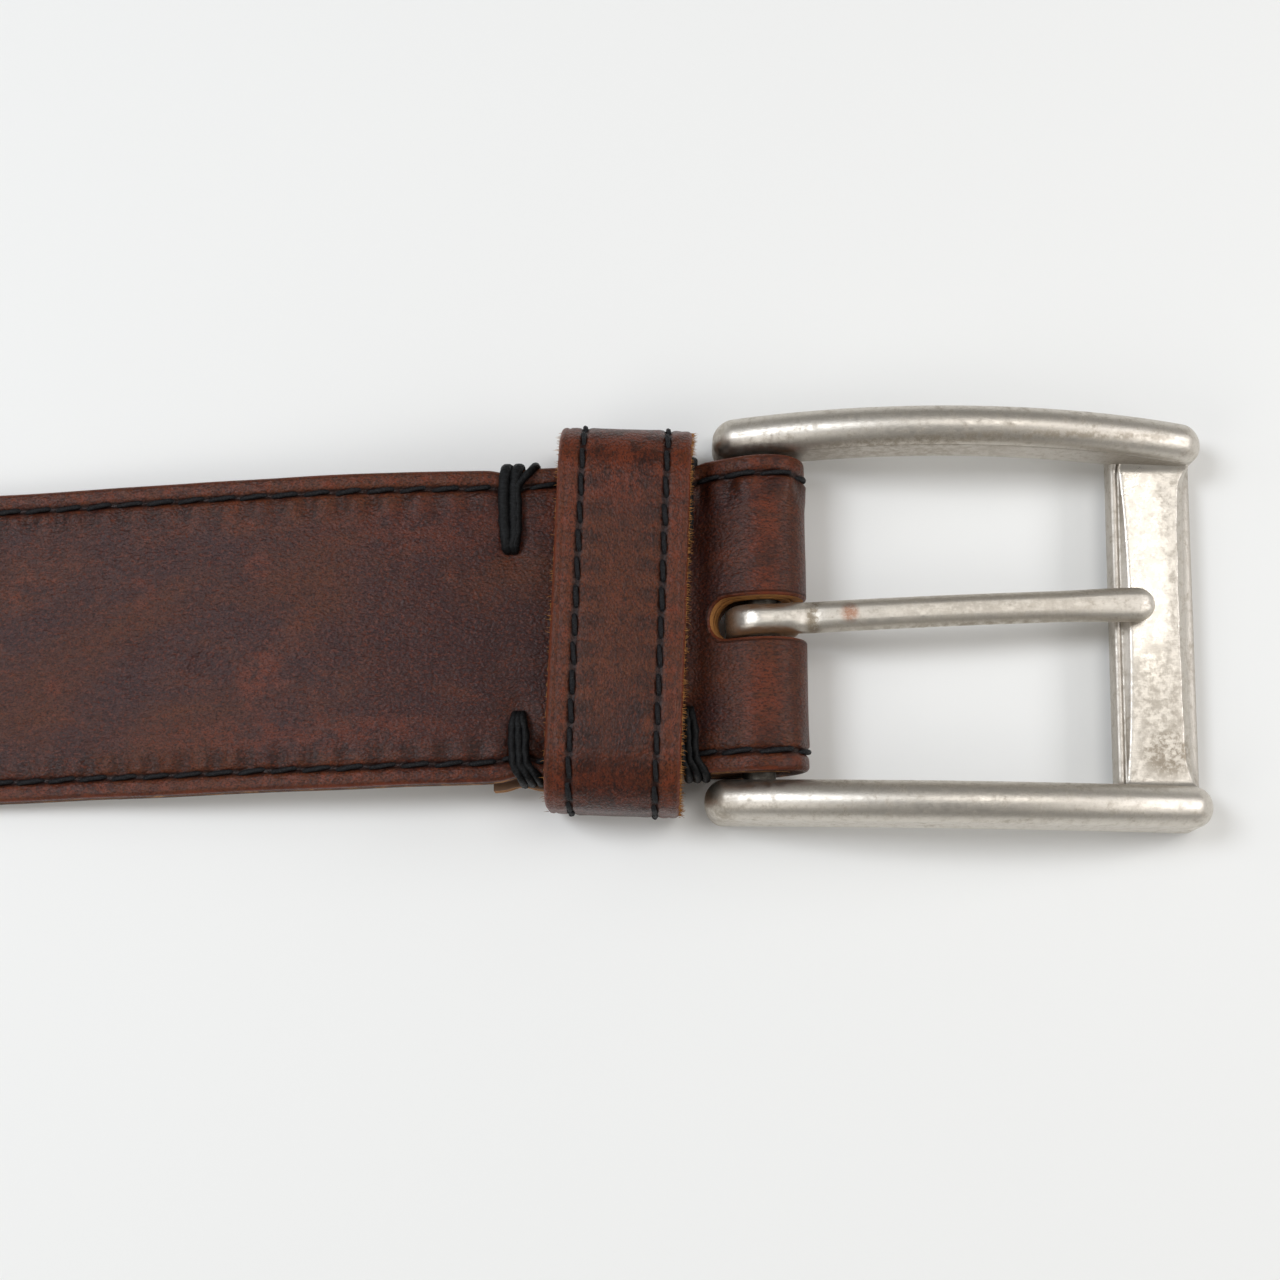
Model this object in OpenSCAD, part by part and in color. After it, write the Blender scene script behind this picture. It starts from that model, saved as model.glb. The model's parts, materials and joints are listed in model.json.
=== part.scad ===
// Leather belt with a bowed metal buckle, laid out flat.
// +X runs along the belt to the buckle, +Z is up, and the belt rests on Z = 0.
// The origin is at the middle of the belt's length, below its centre line.

/* [Strap] */
// Width of the strap
strap_w = 40; // [36:0.5:42]
// Length of the strap from the heel bar to the tip
strap_l = 1083; // [900:1:1300]
// Thickness of the full-grain outer ply
face_t = 2.0; // [1.5:0.1:2.2]
// Thickness of the lining ply
lining_t = 1.5; // [1.2:0.1:1.8]
// Radius of the two arcs that draw the tip in to a blunt point
tip_r = 26; // [22:1:40]

/* [Tongue holes] */
// Distance from the heel bar to the middle hole
size_l = 944; // [700:1:1150]
// Number of holes
hole_count = 5; // [3:2:7]
// Distance from one hole to the next
hole_pitch = 25; // [20:1:30]
// Diameter of each hole
hole_d = 4.2; // [3.5:0.1:5]

/* [Fold] */
// Height of the heel bar's centre above the table
bar_z = 6.2; // [6.1:0.1:7]
// Gap between the heel bar and the lining that wraps it
fold_gap = 0.3; // [0.2:0.05:0.5]
// Length over which the fold closes behind the bar
fold_run = 8.5; // [8:0.1:9]
// Length of the turned-back end behind the bar
return_l = 34; // [32:0.5:40]
// Height of the turned-back end above the table
return_z = 2.4; // [2.3:0.05:2.6]
// Length over which the strap comes down to the table
ramp_l = 80; // [60:1:100]
// Width of the slot that the tongue swings in
slot_w = 5.2; // [5:0.1:6]
// Reach of the slot behind the heel bar
slot_reach = 6.2; // [5.6:0.1:6.4]

/* [Stitching] */
// Distance from the strap's edge to its seam
seam_inset = 2.4; // [2:0.1:3]
// Width of a thread
thread_w = 0.8; // [0.6:0.05:1]
// How far a thread stands above the leather
thread_proud = 0.2; // [0.1:0.05:0.2]

/* [Keeper] */
// Width of the keeper loop along the belt
keeper_w = 16.4; // [14:0.2:18]
// Outer width of the loop across the belt
keeper_span = 48.4; // [48:0.2:50]
// Outer height of the loop
keeper_h = 16; // [15.5:0.1:17]
// Thickness of the keeper leather
keeper_t = 1.9; // [1.6:0.1:1.9]
// Distance of the loop's centre behind the heel bar
keeper_x = 17.6; // [17:0.1:18]
// Angle by which the loop sits askew on the strap
keeper_skew = 3.9; // [0:0.1:4]

/* [Buckle] */
// Angle by which the buckle hangs askew on the strap
frame_skew = 2.7; // [0:0.1:3]
// Distance from the heel bar back to the ends of the side arms
heel_reach = 6.3; // [6:0.1:6.6]
// Distance from the heel bar forward to the ends of the side arms
toe_reach = 55.9; // [54:0.1:58]
// Rise of the side arms at the middle of their length
bow = 7.6; // [6:0.1:8]
// Half of the clear width between the side arms
window_half = 20.5; // [20.4:0.05:21]
// Width of a side arm at its rounded top
arm_w = 5.0; // [4.6:0.1:5.4]
// Outward flare of a side arm's outer flank at its foot
arm_flare = 0.6; // [0.3:0.05:0.8]
// Height of a side arm's flanks
flank_h = 5.3; // [4.8:0.1:5.6]
// Height of the rounded top above the flanks
crown_h = 2.0; // [1.5:0.1:2.4]
// Radius of the heel bar
bar_r = 2.0; // [1.8:0.05:2.2]
// Height of the front bar's flat top
front_z = 4.9; // [4.6:0.05:5]

/* [Tongue] */
// Width of the tongue
tongue_w = 3.9; // [3.5:0.1:4.2]
// Thickness of the tongue
tongue_t = 3.0; // [2.6:0.1:3.2]
// Distance from the heel bar to the tongue's end
tongue_reach = 49.3; // [47:0.1:50.5]
// Rise of the tongue at the middle of its length
tongue_bow = 1.6; // [1:0.1:2]
// Outer radius of the knuckle that turns on the heel bar
knuckle_r = 4.5; // [4.2:0.05:4.6]
// Sideways place of the tongue on the heel bar
tongue_y = -0.9; // [-1.2:0.1:0]

/* [Hidden] */
$fn = 64;

// Strap levels. Heights called mid follow the middle of the two plies together.
strap_t = face_t + lining_t;
skew_reach = 1.1;
bar_x = (strap_l - toe_reach - skew_reach) / 2;
fold_mid_r = bar_r + fold_gap + strap_t / 2;
flat_mid = strap_t / 2;
return_mid = return_z + strap_t / 2;
stack_mid = return_z + 1.5 * strap_t;
stack_top = stack_mid + strap_t / 2;
ramp_delay = 2;
ramp_start = return_l + ramp_delay;
lift_end = ramp_start + ramp_l + ramp_delay;
split_x = 12;
fold_steps = 10;
nose_step = 7.5;
ramp_count = 14;
tip_flank = tip_r - strap_w / 2;
tip_l = sqrt(tip_r * tip_r - tip_flank * tip_flank);
fold_inset = 0.2;
fold_half_w = strap_w / 2 - fold_inset;
seam_y = strap_w / 2 - seam_inset;
groove_d = 0.45;
thread_top = strap_t / 2 + thread_proud;
thread_bed = strap_t / 2 - groove_d;
ply_split = strap_t / 2 - face_t;
skive = 0.02;
slot_y = -0.75;
slot_back_r = slot_w / 2;

// Cord tacks
tack_w = 3.2;
cord_t = 1.1;
tack_room = 0.05;
tack_outset = 0.5;
tack_top = stack_top + thread_proud + tack_room + cord_t;
tack_edge = strap_w / 2 + tack_outset;
tack_leg_r = 1.45;
tack_hole_r = 1.5;
tack_round = 1.0;

// Keeper
keeper_top_r = 7.4;
keeper_foot_r = 4.3;
keeper_seam_inset = 3;
staple_wire = 0.7;
staple_l = 8;
butt_gap = 0.15;

// Buckle
heel_swing_r = 7.8;
plan_room = 0.1;
sweep_over = 2;
tall = 4 * bow;
root_overlap = 1.5;
seat = 0.01;
arm_mid = window_half + (arm_w + arm_flare) / 2;
crown_r = (arm_w * arm_w / 4 + crown_h * crown_h) / (2 * crown_h);
front_back_x = 44.4;
front_nose_x = 54.9;
front_face = [45.7, 53.1];
front_under = 2.0;
front_back_drop = 0.7;
front_nose_drop = 1.6;
front_lip = 1;

// Tongue
eye_clearance = 0.15;
tongue_rest_gap = 0.1;
tongue_root_rise = 2;
tongue_tip_z = front_z + tongue_rest_gap + tongue_t / 2;
tongue_root_z = bar_z + tongue_root_rise;
tongue_tip_r = 2.2;
tongue_edge_r = 1.2;
knuckle_edge_r = 0.9;

clear = 1;

// Smooth step from 0 to 1 as t goes from 0 to 1.
function ease(t) = (1 - cos(180 * min(max(t, 0), 1))) / 2;

// Middle of the strap above the table, d behind the heel bar.
function main_mid(d) = flat_mid + (stack_mid - flat_mid) * (1 - ease((d - ramp_start) / ramp_l));

// Middle line of the fold: [x, z, outward x, outward z] from the top layer,
// round the bar and back along the bottom layer.
function leg_point(d, end_mid, far_mid, side) =
    let (
        rise = end_mid - far_mid,
        slope = rise / 2 * PI / fold_run * sin(180 * min(d / fold_run, 1)),
        n = sqrt(1 + slope * slope)
    )
    [-d, end_mid - rise * ease(d / fold_run), -slope * side / n, side / n];
leg_steps = [for (i = [0:fold_steps]) fold_run * i / fold_steps];
fold_top = [for (i = [fold_steps:-1:1]) leg_point(leg_steps[i], bar_z + fold_mid_r, stack_mid, 1)];
fold_nose = [for (a = [90:-nose_step:-90]) [fold_mid_r * cos(a), bar_z + fold_mid_r * sin(a), cos(a), sin(a)]];
fold_under = [for (i = [1:fold_steps]) leg_point(leg_steps[i], bar_z - fold_mid_r, return_mid, -1)];
fold_line = concat(
    [[-split_x - 2 * clear, stack_mid, 0, 1]], fold_top, fold_nose, fold_under,
    [[-split_x - 2 * clear, return_mid, 0, -1]]
);
ramp_line = [for (i = [0:ramp_count]) ramp_start + ramp_l * i / ramp_count];
function run_steps(near, far) = concat([near], [for (d = ramp_line) if (d > near && d < far) d], [far]);

module at_bar() {
    translate([bar_x, 0, 0]) children();
}

module askew(angle) {
    rotate([0, 0, -angle]) children();
}

// Stands a flat X-Z outline up and runs it across the belt from y0 to y1.
module across(y0, y1) {
    translate([0, y1, 0]) rotate([90, 0, 0]) linear_extrude(y1 - y0) children();
}

// Runs a flat Y-Z outline along X for length l, about X = 0.
module along(l) {
    rotate([90, 0, 90]) linear_extrude(l, center = true) children();
}

module box(low, high) {
    translate(low) cube(high - low);
}

// Flat outline with its own corner radii at the top and at the foot.
module rounded(y0, y1, z0, z1, top_r, foot_r) {
    translate([y0 + foot_r, z0]) square([y1 - y0 - 2 * foot_r, z1 - z0 - top_r]);
    translate([y0, z0 + foot_r]) square([y1 - y0, z1 - z0 - top_r - foot_r]);
    translate([y0 + top_r, z0 + foot_r]) square([y1 - y0 - 2 * top_r, z1 - z0 - foot_r]);
    for (y = [y0 + top_r, y1 - top_r]) translate([y, z1 - top_r]) circle(top_r);
    for (y = [y0 + foot_r, y1 - foot_r]) translate([y, z0 + foot_r]) circle(foot_r);
}

// Sweeps a flat section along an arc from p1 to p2 that rises in the middle.
// The section's X is height above the arc and its Y points to the part's -Y.
module arc_sweep(p1, p2, rise, over) {
    chord = norm(p2 - p1);
    r = (chord * chord / 4 + rise * rise) / (2 * rise);
    way = (p2 - p1) / chord;
    centre = (p1 + p2) / 2 + [way[1], -way[0]] * (r - rise);
    half = asin(chord / 2 / r) + over;
    start = 90 + atan2(way[1], way[0]) - half;
    translate([centre[0], 0, centre[1]])
        rotate([90, 0, 0]) rotate([0, 0, start])
            rotate_extrude(angle = 2 * half, $fn = 180) translate([r, 0]) children();
}

// ---- Strap ----

// Plan of the pointed end, drawn in by inset from its edge.
module tip_plan(inset) {
    translate([-strap_l + tip_l, 0]) intersection() {
        translate([0, -tip_flank]) circle(tip_r - inset, $fn = 128);
        translate([0, tip_flank]) circle(tip_r - inset, $fn = 128);
        translate([-tip_r, -tip_r]) square([tip_r, 2 * tip_r]);
    }
}

// The strap between offsets a and b from its middle line, from y0 to y1, over the
// stretch that starts near and ends far behind the bar.
module run_layer(a, b, y0, y1, near, far) {
    steps = run_steps(near, far);
    across(y0, y1) polygon(concat(
        [for (d = steps) [-d, main_mid(d) + b]],
        [for (i = [len(steps) - 1:-1:0]) [-steps[i], main_mid(steps[i]) + a]]
    ));
}

// The turned-back end between the same offsets.
module return_layer(a, b, y0, y1, near) {
    across(y0, y1) translate([-return_l, return_mid - b]) square([return_l - near, b - a]);
}

// The fold between the same offsets, less the skive. It follows the bar, which sits askew.
module fold_layer(a, b, y0, y1, back) {
    intersection() {
        askew(frame_skew) across(-strap_w, strap_w) polygon(concat(
            [for (p = fold_line) [p[0] + p[2] * (b - skive), p[1] + p[3] * (b - skive)]],
            [for (i = [len(fold_line) - 1:-1:0]) let (p = fold_line[i])
                [p[0] + p[2] * (a + skive), p[1] + p[3] * (a + skive)]]
        ));
        box([-back, y0, -clear], [fold_mid_r * 2, y1, stack_top * 2]);
    }
}

module tongue_slot() {
    translate([-slot_reach + slot_back_r, slot_y, -clear]) {
        cylinder(h = stack_top * 2, r = slot_back_r);
        translate([0, -slot_back_r, 0]) cube([fold_mid_r * 3, slot_w, stack_top * 2]);
    }
}

module tongue_holes() {
    first = -size_l - (hole_count - 1) / 2 * hole_pitch;
    for (i = [0:hole_count - 1])
        translate([first + i * hole_pitch, 0, -clear]) cylinder(h = strap_t + 2 * clear, d = hole_d);
}

// Each ply is one piece of leather, drawn as three solids that meet face to face:
// the level run with the tip, the lift with the turned-back end, and the fold.
module ply_level(a, b) {
    difference() {
        union() {
            run_layer(a, b, -strap_w / 2, strap_w / 2, lift_end, strap_l - tip_l);
            translate([0, 0, flat_mid + a]) linear_extrude(b - a) tip_plan(0);
        }
        tongue_holes();
    }
}

module ply_lift(a, b) {
    difference() {
        union() {
            run_layer(a, b, -strap_w / 2, strap_w / 2, split_x, lift_end);
            return_layer(a, b, -strap_w / 2, strap_w / 2, split_x);
        }
        tack_cuts(-clear);
    }
}

module ply_fold(a, b) {
    difference() {
        fold_layer(a, b, -fold_half_w, fold_half_w, split_x);
        tongue_slot();
        tack_cuts(-clear);
    }
}

// Both edge rows of one thread, between offsets a and b.
module seam_run(a, b, near, far) {
    for (y = [-seam_y, seam_y]) run_layer(a, b, y - thread_w / 2, y + thread_w / 2, near, far);
}

module seam_return(a, b, near) {
    for (y = [-seam_y, seam_y]) return_layer(a, b, y - thread_w / 2, y + thread_w / 2, near);
}

module seam_fold(a, b) {
    for (y = [-seam_y, seam_y])
        fold_layer(a, b, y - thread_w / 2, y + thread_w / 2, split_x + clear / 2);
}

module seam_tip(a, b) {
    translate([0, 0, flat_mid + a]) linear_extrude(b - a) difference() {
        tip_plan(seam_inset - thread_w / 2);
        tip_plan(seam_inset + thread_w / 2);
    }
}

module seam(a, b) {
    seam_run(a, b, split_x, strap_l - tip_l);
    seam_return(a, b, split_x);
    seam_fold(a, b);
    seam_tip(a, b);
}

module strap_face() {
    color("#3b1f1a") at_bar() difference() {
        ply_level(ply_split, strap_t / 2);
        seam_run(thread_bed, thread_top, lift_end - clear, strap_l - tip_l);
        seam_tip(thread_bed, thread_top);
    }
}

module face_lift() {
    color("#44241e") at_bar() difference() {
        ply_lift(ply_split, strap_t / 2);
        seam_run(thread_bed, thread_top, split_x - clear, lift_end + clear);
        seam_return(thread_bed, thread_top, split_x - clear);
    }
}

module face_fold() {
    color("#4c2a22") at_bar() difference() {
        ply_fold(ply_split, strap_t / 2);
        seam_fold(thread_bed, thread_top);
    }
}

module strap_lining() {
    color("#6b4a33") at_bar() difference() {
        ply_level(-strap_t / 2, ply_split);
        seam_run(-strap_t / 2, -thread_bed, lift_end - clear, strap_l - tip_l);
        seam_tip(-strap_t / 2, -thread_bed);
    }
}

module lining_lift() {
    color("#745039") at_bar() difference() {
        ply_lift(-strap_t / 2, ply_split);
        seam_run(-strap_t / 2, -thread_bed, split_x - clear, lift_end + clear);
        seam_return(-strap_t / 2, -thread_bed, split_x - clear);
    }
}

module lining_fold() {
    color("#7d573f") at_bar() difference() {
        ply_fold(-strap_t / 2, ply_split);
        seam_fold(-strap_t / 2, -thread_bed);
    }
}

module seam_thread_face() {
    color("#1b1a1c") at_bar() difference() {
        seam(thread_bed, thread_top);
        tack_cuts(return_z);
    }
}

module seam_thread_back() {
    color("#1b1a1c") at_bar() seam(-strap_t / 2, -thread_bed);
}

// ---- Cord tacks ----

// Cord on the +Y side, from its hole at y_in out round the strap's edge and back below.
module tack(x, y_in, side) {
    translate([x, 0, 0]) mirror([0, side < 0 ? 1 : 0, 0]) {
        along(tack_w) difference() {
            rounded(y_in, tack_edge, return_z, tack_top, tack_round, tack_round);
            translate([y_in - clear, return_z + cord_t])
                square([tack_edge - cord_t - y_in + clear, tack_top - return_z - 2 * cord_t]);
        }
        translate([0, y_in, return_z]) cylinder(h = tack_top - return_z, r = tack_leg_r);
    }
}

// Room for that cord in the leather: its hole, and dents at the edge and below.
module tack_cut(x, y_in, side, foot) {
    translate([x, 0, 0]) mirror([0, side < 0 ? 1 : 0, 0]) {
        box([-tack_w / 2, y_in, foot], [tack_w / 2, strap_w, return_z + cord_t]);
        box([-tack_w / 2, tack_edge - cord_t, foot], [tack_w / 2, strap_w, tack_top]);
        translate([0, y_in, foot]) cylinder(h = tack_top - foot, r = tack_hole_r);
    }
}

// Place of each tack: distance behind the bar, inner end and side of the strap
tack_ul = [31.0, 9.6, 1];
tack_ll = [30.4, 12.4, -1];
tack_ur = [9.3, 9.8, 1];
tack_lr = [9.7, 12.2, -1];

module tack_cuts(foot) {
    for (t = [tack_ul, tack_ll, tack_ur, tack_lr]) tack_cut(-t[0], t[1], t[2], foot);
}

module tack_upper_left() {
    color("#151517") at_bar() tack(-tack_ul[0], tack_ul[1], tack_ul[2]);
}

module tack_lower_left() {
    color("#151517") at_bar() tack(-tack_ll[0], tack_ll[1], tack_ll[2]);
}

module tack_upper_right() {
    color("#151517") at_bar() tack(-tack_ur[0], tack_ur[1], tack_ur[2]);
}

module tack_lower_right() {
    color("#151517") at_bar() tack(-tack_lr[0], tack_lr[1], tack_lr[2]);
}

// ---- Keeper ----

module at_keeper() {
    at_bar() translate([-keeper_x, 0, 0]) askew(keeper_skew) children();
}

// Outline of the loop, in from its outer face by inset on the top and sides.
module keeper_outline(inset, foot) {
    rounded(
        -keeper_span / 2 + inset, keeper_span / 2 - inset, foot, keeper_h - inset,
        keeper_top_r - inset, keeper_foot_r - inset
    );
}

module keeper_thread(x) {
    translate([x, 0, 0]) along(thread_w) difference() {
        keeper_outline(-thread_proud, 0);
        keeper_outline(groove_d, groove_d);
    }
}

module staple(wire) {
    for (y = [-staple_l / 2, staple_l / 2])
        translate([0, y, 0]) cylinder(h = keeper_t, d = wire, $fn = 24);
    along(wire) translate([-staple_l / 2, 0]) square([staple_l, wire]);
}

module keeper_band() {
    color("#56281c") at_keeper() difference() {
        along(keeper_w) difference() {
            keeper_outline(0, 0);
            keeper_outline(keeper_t, keeper_t);
        }
        for (side = [-1, 1]) keeper_thread(side * (keeper_w / 2 - keeper_seam_inset));
        staple(staple_wire);
        box([-keeper_w, -butt_gap / 2, -clear], [keeper_w, butt_gap / 2, keeper_t + clear]);
    }
}

module keeper_thread_left() {
    color("#1b1a1c") at_keeper() keeper_thread(-keeper_w / 2 + keeper_seam_inset);
}

module keeper_thread_right() {
    color("#1b1a1c") at_keeper() keeper_thread(keeper_w / 2 - keeper_seam_inset);
}

module keeper_staple() {
    color("#8d8a84") at_keeper() staple(staple_wire);
}

// ---- Buckle ----

module at_buckle() {
    at_bar() askew(frame_skew) children();
}

// Section of a side arm: flared outer flank, upright inner flank, round top.
module arm_section() {
    polygon([
        [0, window_half], [flank_h, window_half], [flank_h, window_half + arm_w],
        [0, window_half + arm_w + arm_flare]
    ]);
    intersection() {
        translate([flank_h + crown_h - crown_r, window_half + arm_w / 2]) circle(crown_r, $fn = 96);
        translate([flank_h - seat, window_half]) square([crown_h * 2, arm_w]);
    }
}

// Plan of a side arm, rounded at both ends.
module arm_plan() {
    end_r = (arm_w + arm_flare) / 2 + plan_room;
    for (x = [-heel_reach + end_r, toe_reach - end_r]) translate([x, -arm_mid]) circle(end_r);
    translate([-heel_reach + end_r, -arm_mid - end_r])
        square([heel_reach + toe_reach - 2 * end_r, 2 * end_r]);
}

// The side arm on the -Y side.
module side_arm() {
    intersection() {
        arc_sweep([-heel_reach, 0], [toe_reach, 0], bow, sweep_over) arm_section();
        translate([0, 0, -clear]) linear_extrude(tall) arm_plan();
        union() {
            translate([0, 0, bar_z]) rotate([90, 0, 0])
                cylinder(h = 4 * window_half, r = heel_swing_r, center = true);
            box([0, -2 * window_half, -clear], [2 * toe_reach, 0, tall]);
        }
    }
}

// Section of the front bar: a flat top with a narrow bevel behind and a wide one in front.
module front_section() {
    polygon([
        [front_back_x, front_under], [front_back_x, front_z - front_back_drop],
        [front_face[0], front_z], [front_face[1], front_z],
        [front_nose_x, front_z - front_nose_drop], [front_nose_x, front_under - front_lip]
    ]);
}

module buckle_frame() {
    color("#b7b2a6") at_buckle() {
        side_arm();
        mirror([0, 1, 0]) side_arm();
        across(-window_half - root_overlap, window_half + root_overlap) front_section();
        translate([0, 0, bar_z]) rotate([90, 0, 0])
            cylinder(h = 2 * (window_half + root_overlap), r = bar_r, center = true);
    }
}

// ---- Tongue ----

module tongue_section() {
    rounded(
        -tongue_t / 2, tongue_t / 2, -tongue_w / 2, tongue_w / 2, tongue_edge_r, tongue_edge_r
    );
}

module tongue_plan() {
    translate([tongue_reach - tongue_tip_r, 0]) circle(tongue_tip_r);
    translate([0, -tongue_tip_r]) square([tongue_reach - tongue_tip_r, 2 * tongue_tip_r]);
}

module knuckle() {
    translate([0, 0, bar_z]) rotate([90, 0, 0]) rotate_extrude()
        rounded(0, knuckle_r, -tongue_w / 2, tongue_w / 2, knuckle_edge_r, knuckle_edge_r);
}

module tongue() {
    color("#aaa69b") at_bar() difference() {
        union() {
            askew(frame_skew) translate([0, tongue_y, 0]) knuckle();
            translate([0, tongue_y, 0]) intersection() {
                arc_sweep([0, tongue_root_z], [tongue_reach, tongue_tip_z], tongue_bow, sweep_over)
                    tongue_section();
                linear_extrude(tall) tongue_plan();
            }
        }
        askew(frame_skew) translate([0, 0, bar_z]) rotate([90, 0, 0])
            cylinder(h = window_half, r = bar_r + eye_clearance, center = true);
    }
}

strap_face();
face_lift();
face_fold();
strap_lining();
lining_lift();
lining_fold();
seam_thread_face();
seam_thread_back();
tack_upper_left();
tack_lower_left();
tack_upper_right();
tack_lower_right();
keeper_band();
keeper_thread_left();
keeper_thread_right();
keeper_staple();
buckle_frame();
tongue();
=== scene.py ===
import json
import math

import bmesh
import bpy
import numpy as np
from bpy.props import FloatProperty, FloatVectorProperty, IntProperty, PointerProperty
from mathutils import Matrix, Vector


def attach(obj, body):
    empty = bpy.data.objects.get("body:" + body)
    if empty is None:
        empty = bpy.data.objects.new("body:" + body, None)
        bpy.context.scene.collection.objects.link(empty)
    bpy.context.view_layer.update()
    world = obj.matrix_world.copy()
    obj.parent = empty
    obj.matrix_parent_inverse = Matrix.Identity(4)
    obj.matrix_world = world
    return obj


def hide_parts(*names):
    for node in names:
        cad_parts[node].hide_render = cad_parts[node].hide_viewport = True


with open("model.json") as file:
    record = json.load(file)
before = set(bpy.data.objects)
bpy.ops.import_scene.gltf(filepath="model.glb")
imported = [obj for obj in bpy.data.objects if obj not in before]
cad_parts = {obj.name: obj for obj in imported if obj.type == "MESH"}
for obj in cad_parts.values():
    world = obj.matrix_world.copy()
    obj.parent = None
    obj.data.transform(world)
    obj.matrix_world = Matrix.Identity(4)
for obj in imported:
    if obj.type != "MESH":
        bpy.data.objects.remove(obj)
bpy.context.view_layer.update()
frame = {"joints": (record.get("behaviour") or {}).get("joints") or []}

bl_info = {
    "name": "Leather belt",
    "version": (1, 0, 0),
    "blender": (4, 5, 0),
    "location": "3D View > Sidebar > Belt",
    "description": "Makes a worn leather belt with its keeper, cord tacks and bowed buckle",
    "category": "Object",
}

# Lengths in the making functions are millimetres measured from the heel bar's axis:
# x towards the front of the buckle, y across the strap, z up from the table.
BAR = Vector(frame["joints"][0]["pos_m"])
METRE = 1000.0
# Length of a stitch as a share of the pitch
STITCH_SHARE = 0.92


# ---------------------------------------------------------------- settings


def metres(label, note, value):
    """A length setting."""
    return FloatProperty(name=label, description=note, default=value, unit="LENGTH")


def angle(label, note, degrees):
    """An angle setting."""
    return FloatProperty(name=label, description=note, default=math.radians(degrees), subtype="ANGLE")


def shade(label, note, value):
    """A colour setting."""
    return FloatVectorProperty(
        name=label, description=note, default=(*value, 1.0), size=4, min=0.0, max=1.0, subtype="COLOR"
    )


class StrapSettings(bpy.types.PropertyGroup):
    width: metres("Width", "Width of the strap", 0.040)
    length: metres("Length", "From the heel bar to the tip", 1.083)
    face: metres("Face thickness", "Thickness of the grain ply", 0.0020)
    lining: metres("Lining thickness", "Thickness of the inner ply", 0.0015)
    tip_radius: metres("Tip radius", "Radius of the two arcs of the tip", 0.026)
    middle_hole: metres("Middle hole", "From the heel bar to the middle hole", 0.944)
    hole_pitch: metres("Hole spacing", "From one hole to the next", 0.025)
    hole_count: IntProperty(name="Holes", description="Number of tongue holes", default=5, min=1)
    hole_width: metres("Hole width", "Diameter of a tongue hole", 0.0042)
    return_length: metres("Turned-back end", "Length of the end behind the bar", 0.034)
    pucker: metres("Pucker", "Depth of the creases beside the seam", 0.00032)


class StitchSettings(bpy.types.PropertyGroup):
    inset: metres("Inset", "From the strap's edge to the seam", 0.0024)
    pitch: metres("Strap pitch", "From one stitch of the strap to the next", 0.0041)
    keeper_pitch: metres("Keeper pitch", "From one stitch of the keeper to the next", 0.0035)
    thickness: metres("Thread thickness", "Diameter of the sewing thread", 0.00060)


class KeeperSettings(bpy.types.PropertyGroup):
    width: metres("Width", "Width along the belt", 0.0164)
    span: metres("Span", "Outer width across the belt", 0.0484)
    height: metres("Height", "Outer height of the loop", 0.016)
    thickness: metres("Thickness", "Thickness of the leather", 0.0019)
    behind: metres("Place", "Distance of the loop behind the bar", 0.0176)
    skew: angle("Skew", "Turn of the loop on the strap", 3.9)


class BuckleSettings(bpy.types.PropertyGroup):
    skew: angle("Skew", "Turn of the buckle on the strap", 2.7)
    bow: metres("Bow", "Rise of the side arms", 0.0076)
    window: metres("Half window", "Half of the width between the arms", 0.0205)
    arm_width: metres("Arm width", "Width of an arm's round top", 0.0050)
    bar_radius: metres("Heel bar radius", "Radius of the heel bar", 0.0020)
    tongue_width: metres("Tongue width", "Width of the tongue", 0.0039)
    tongue_reach: metres("Tongue reach", "From the heel bar to the tongue's end", 0.0493)


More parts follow.
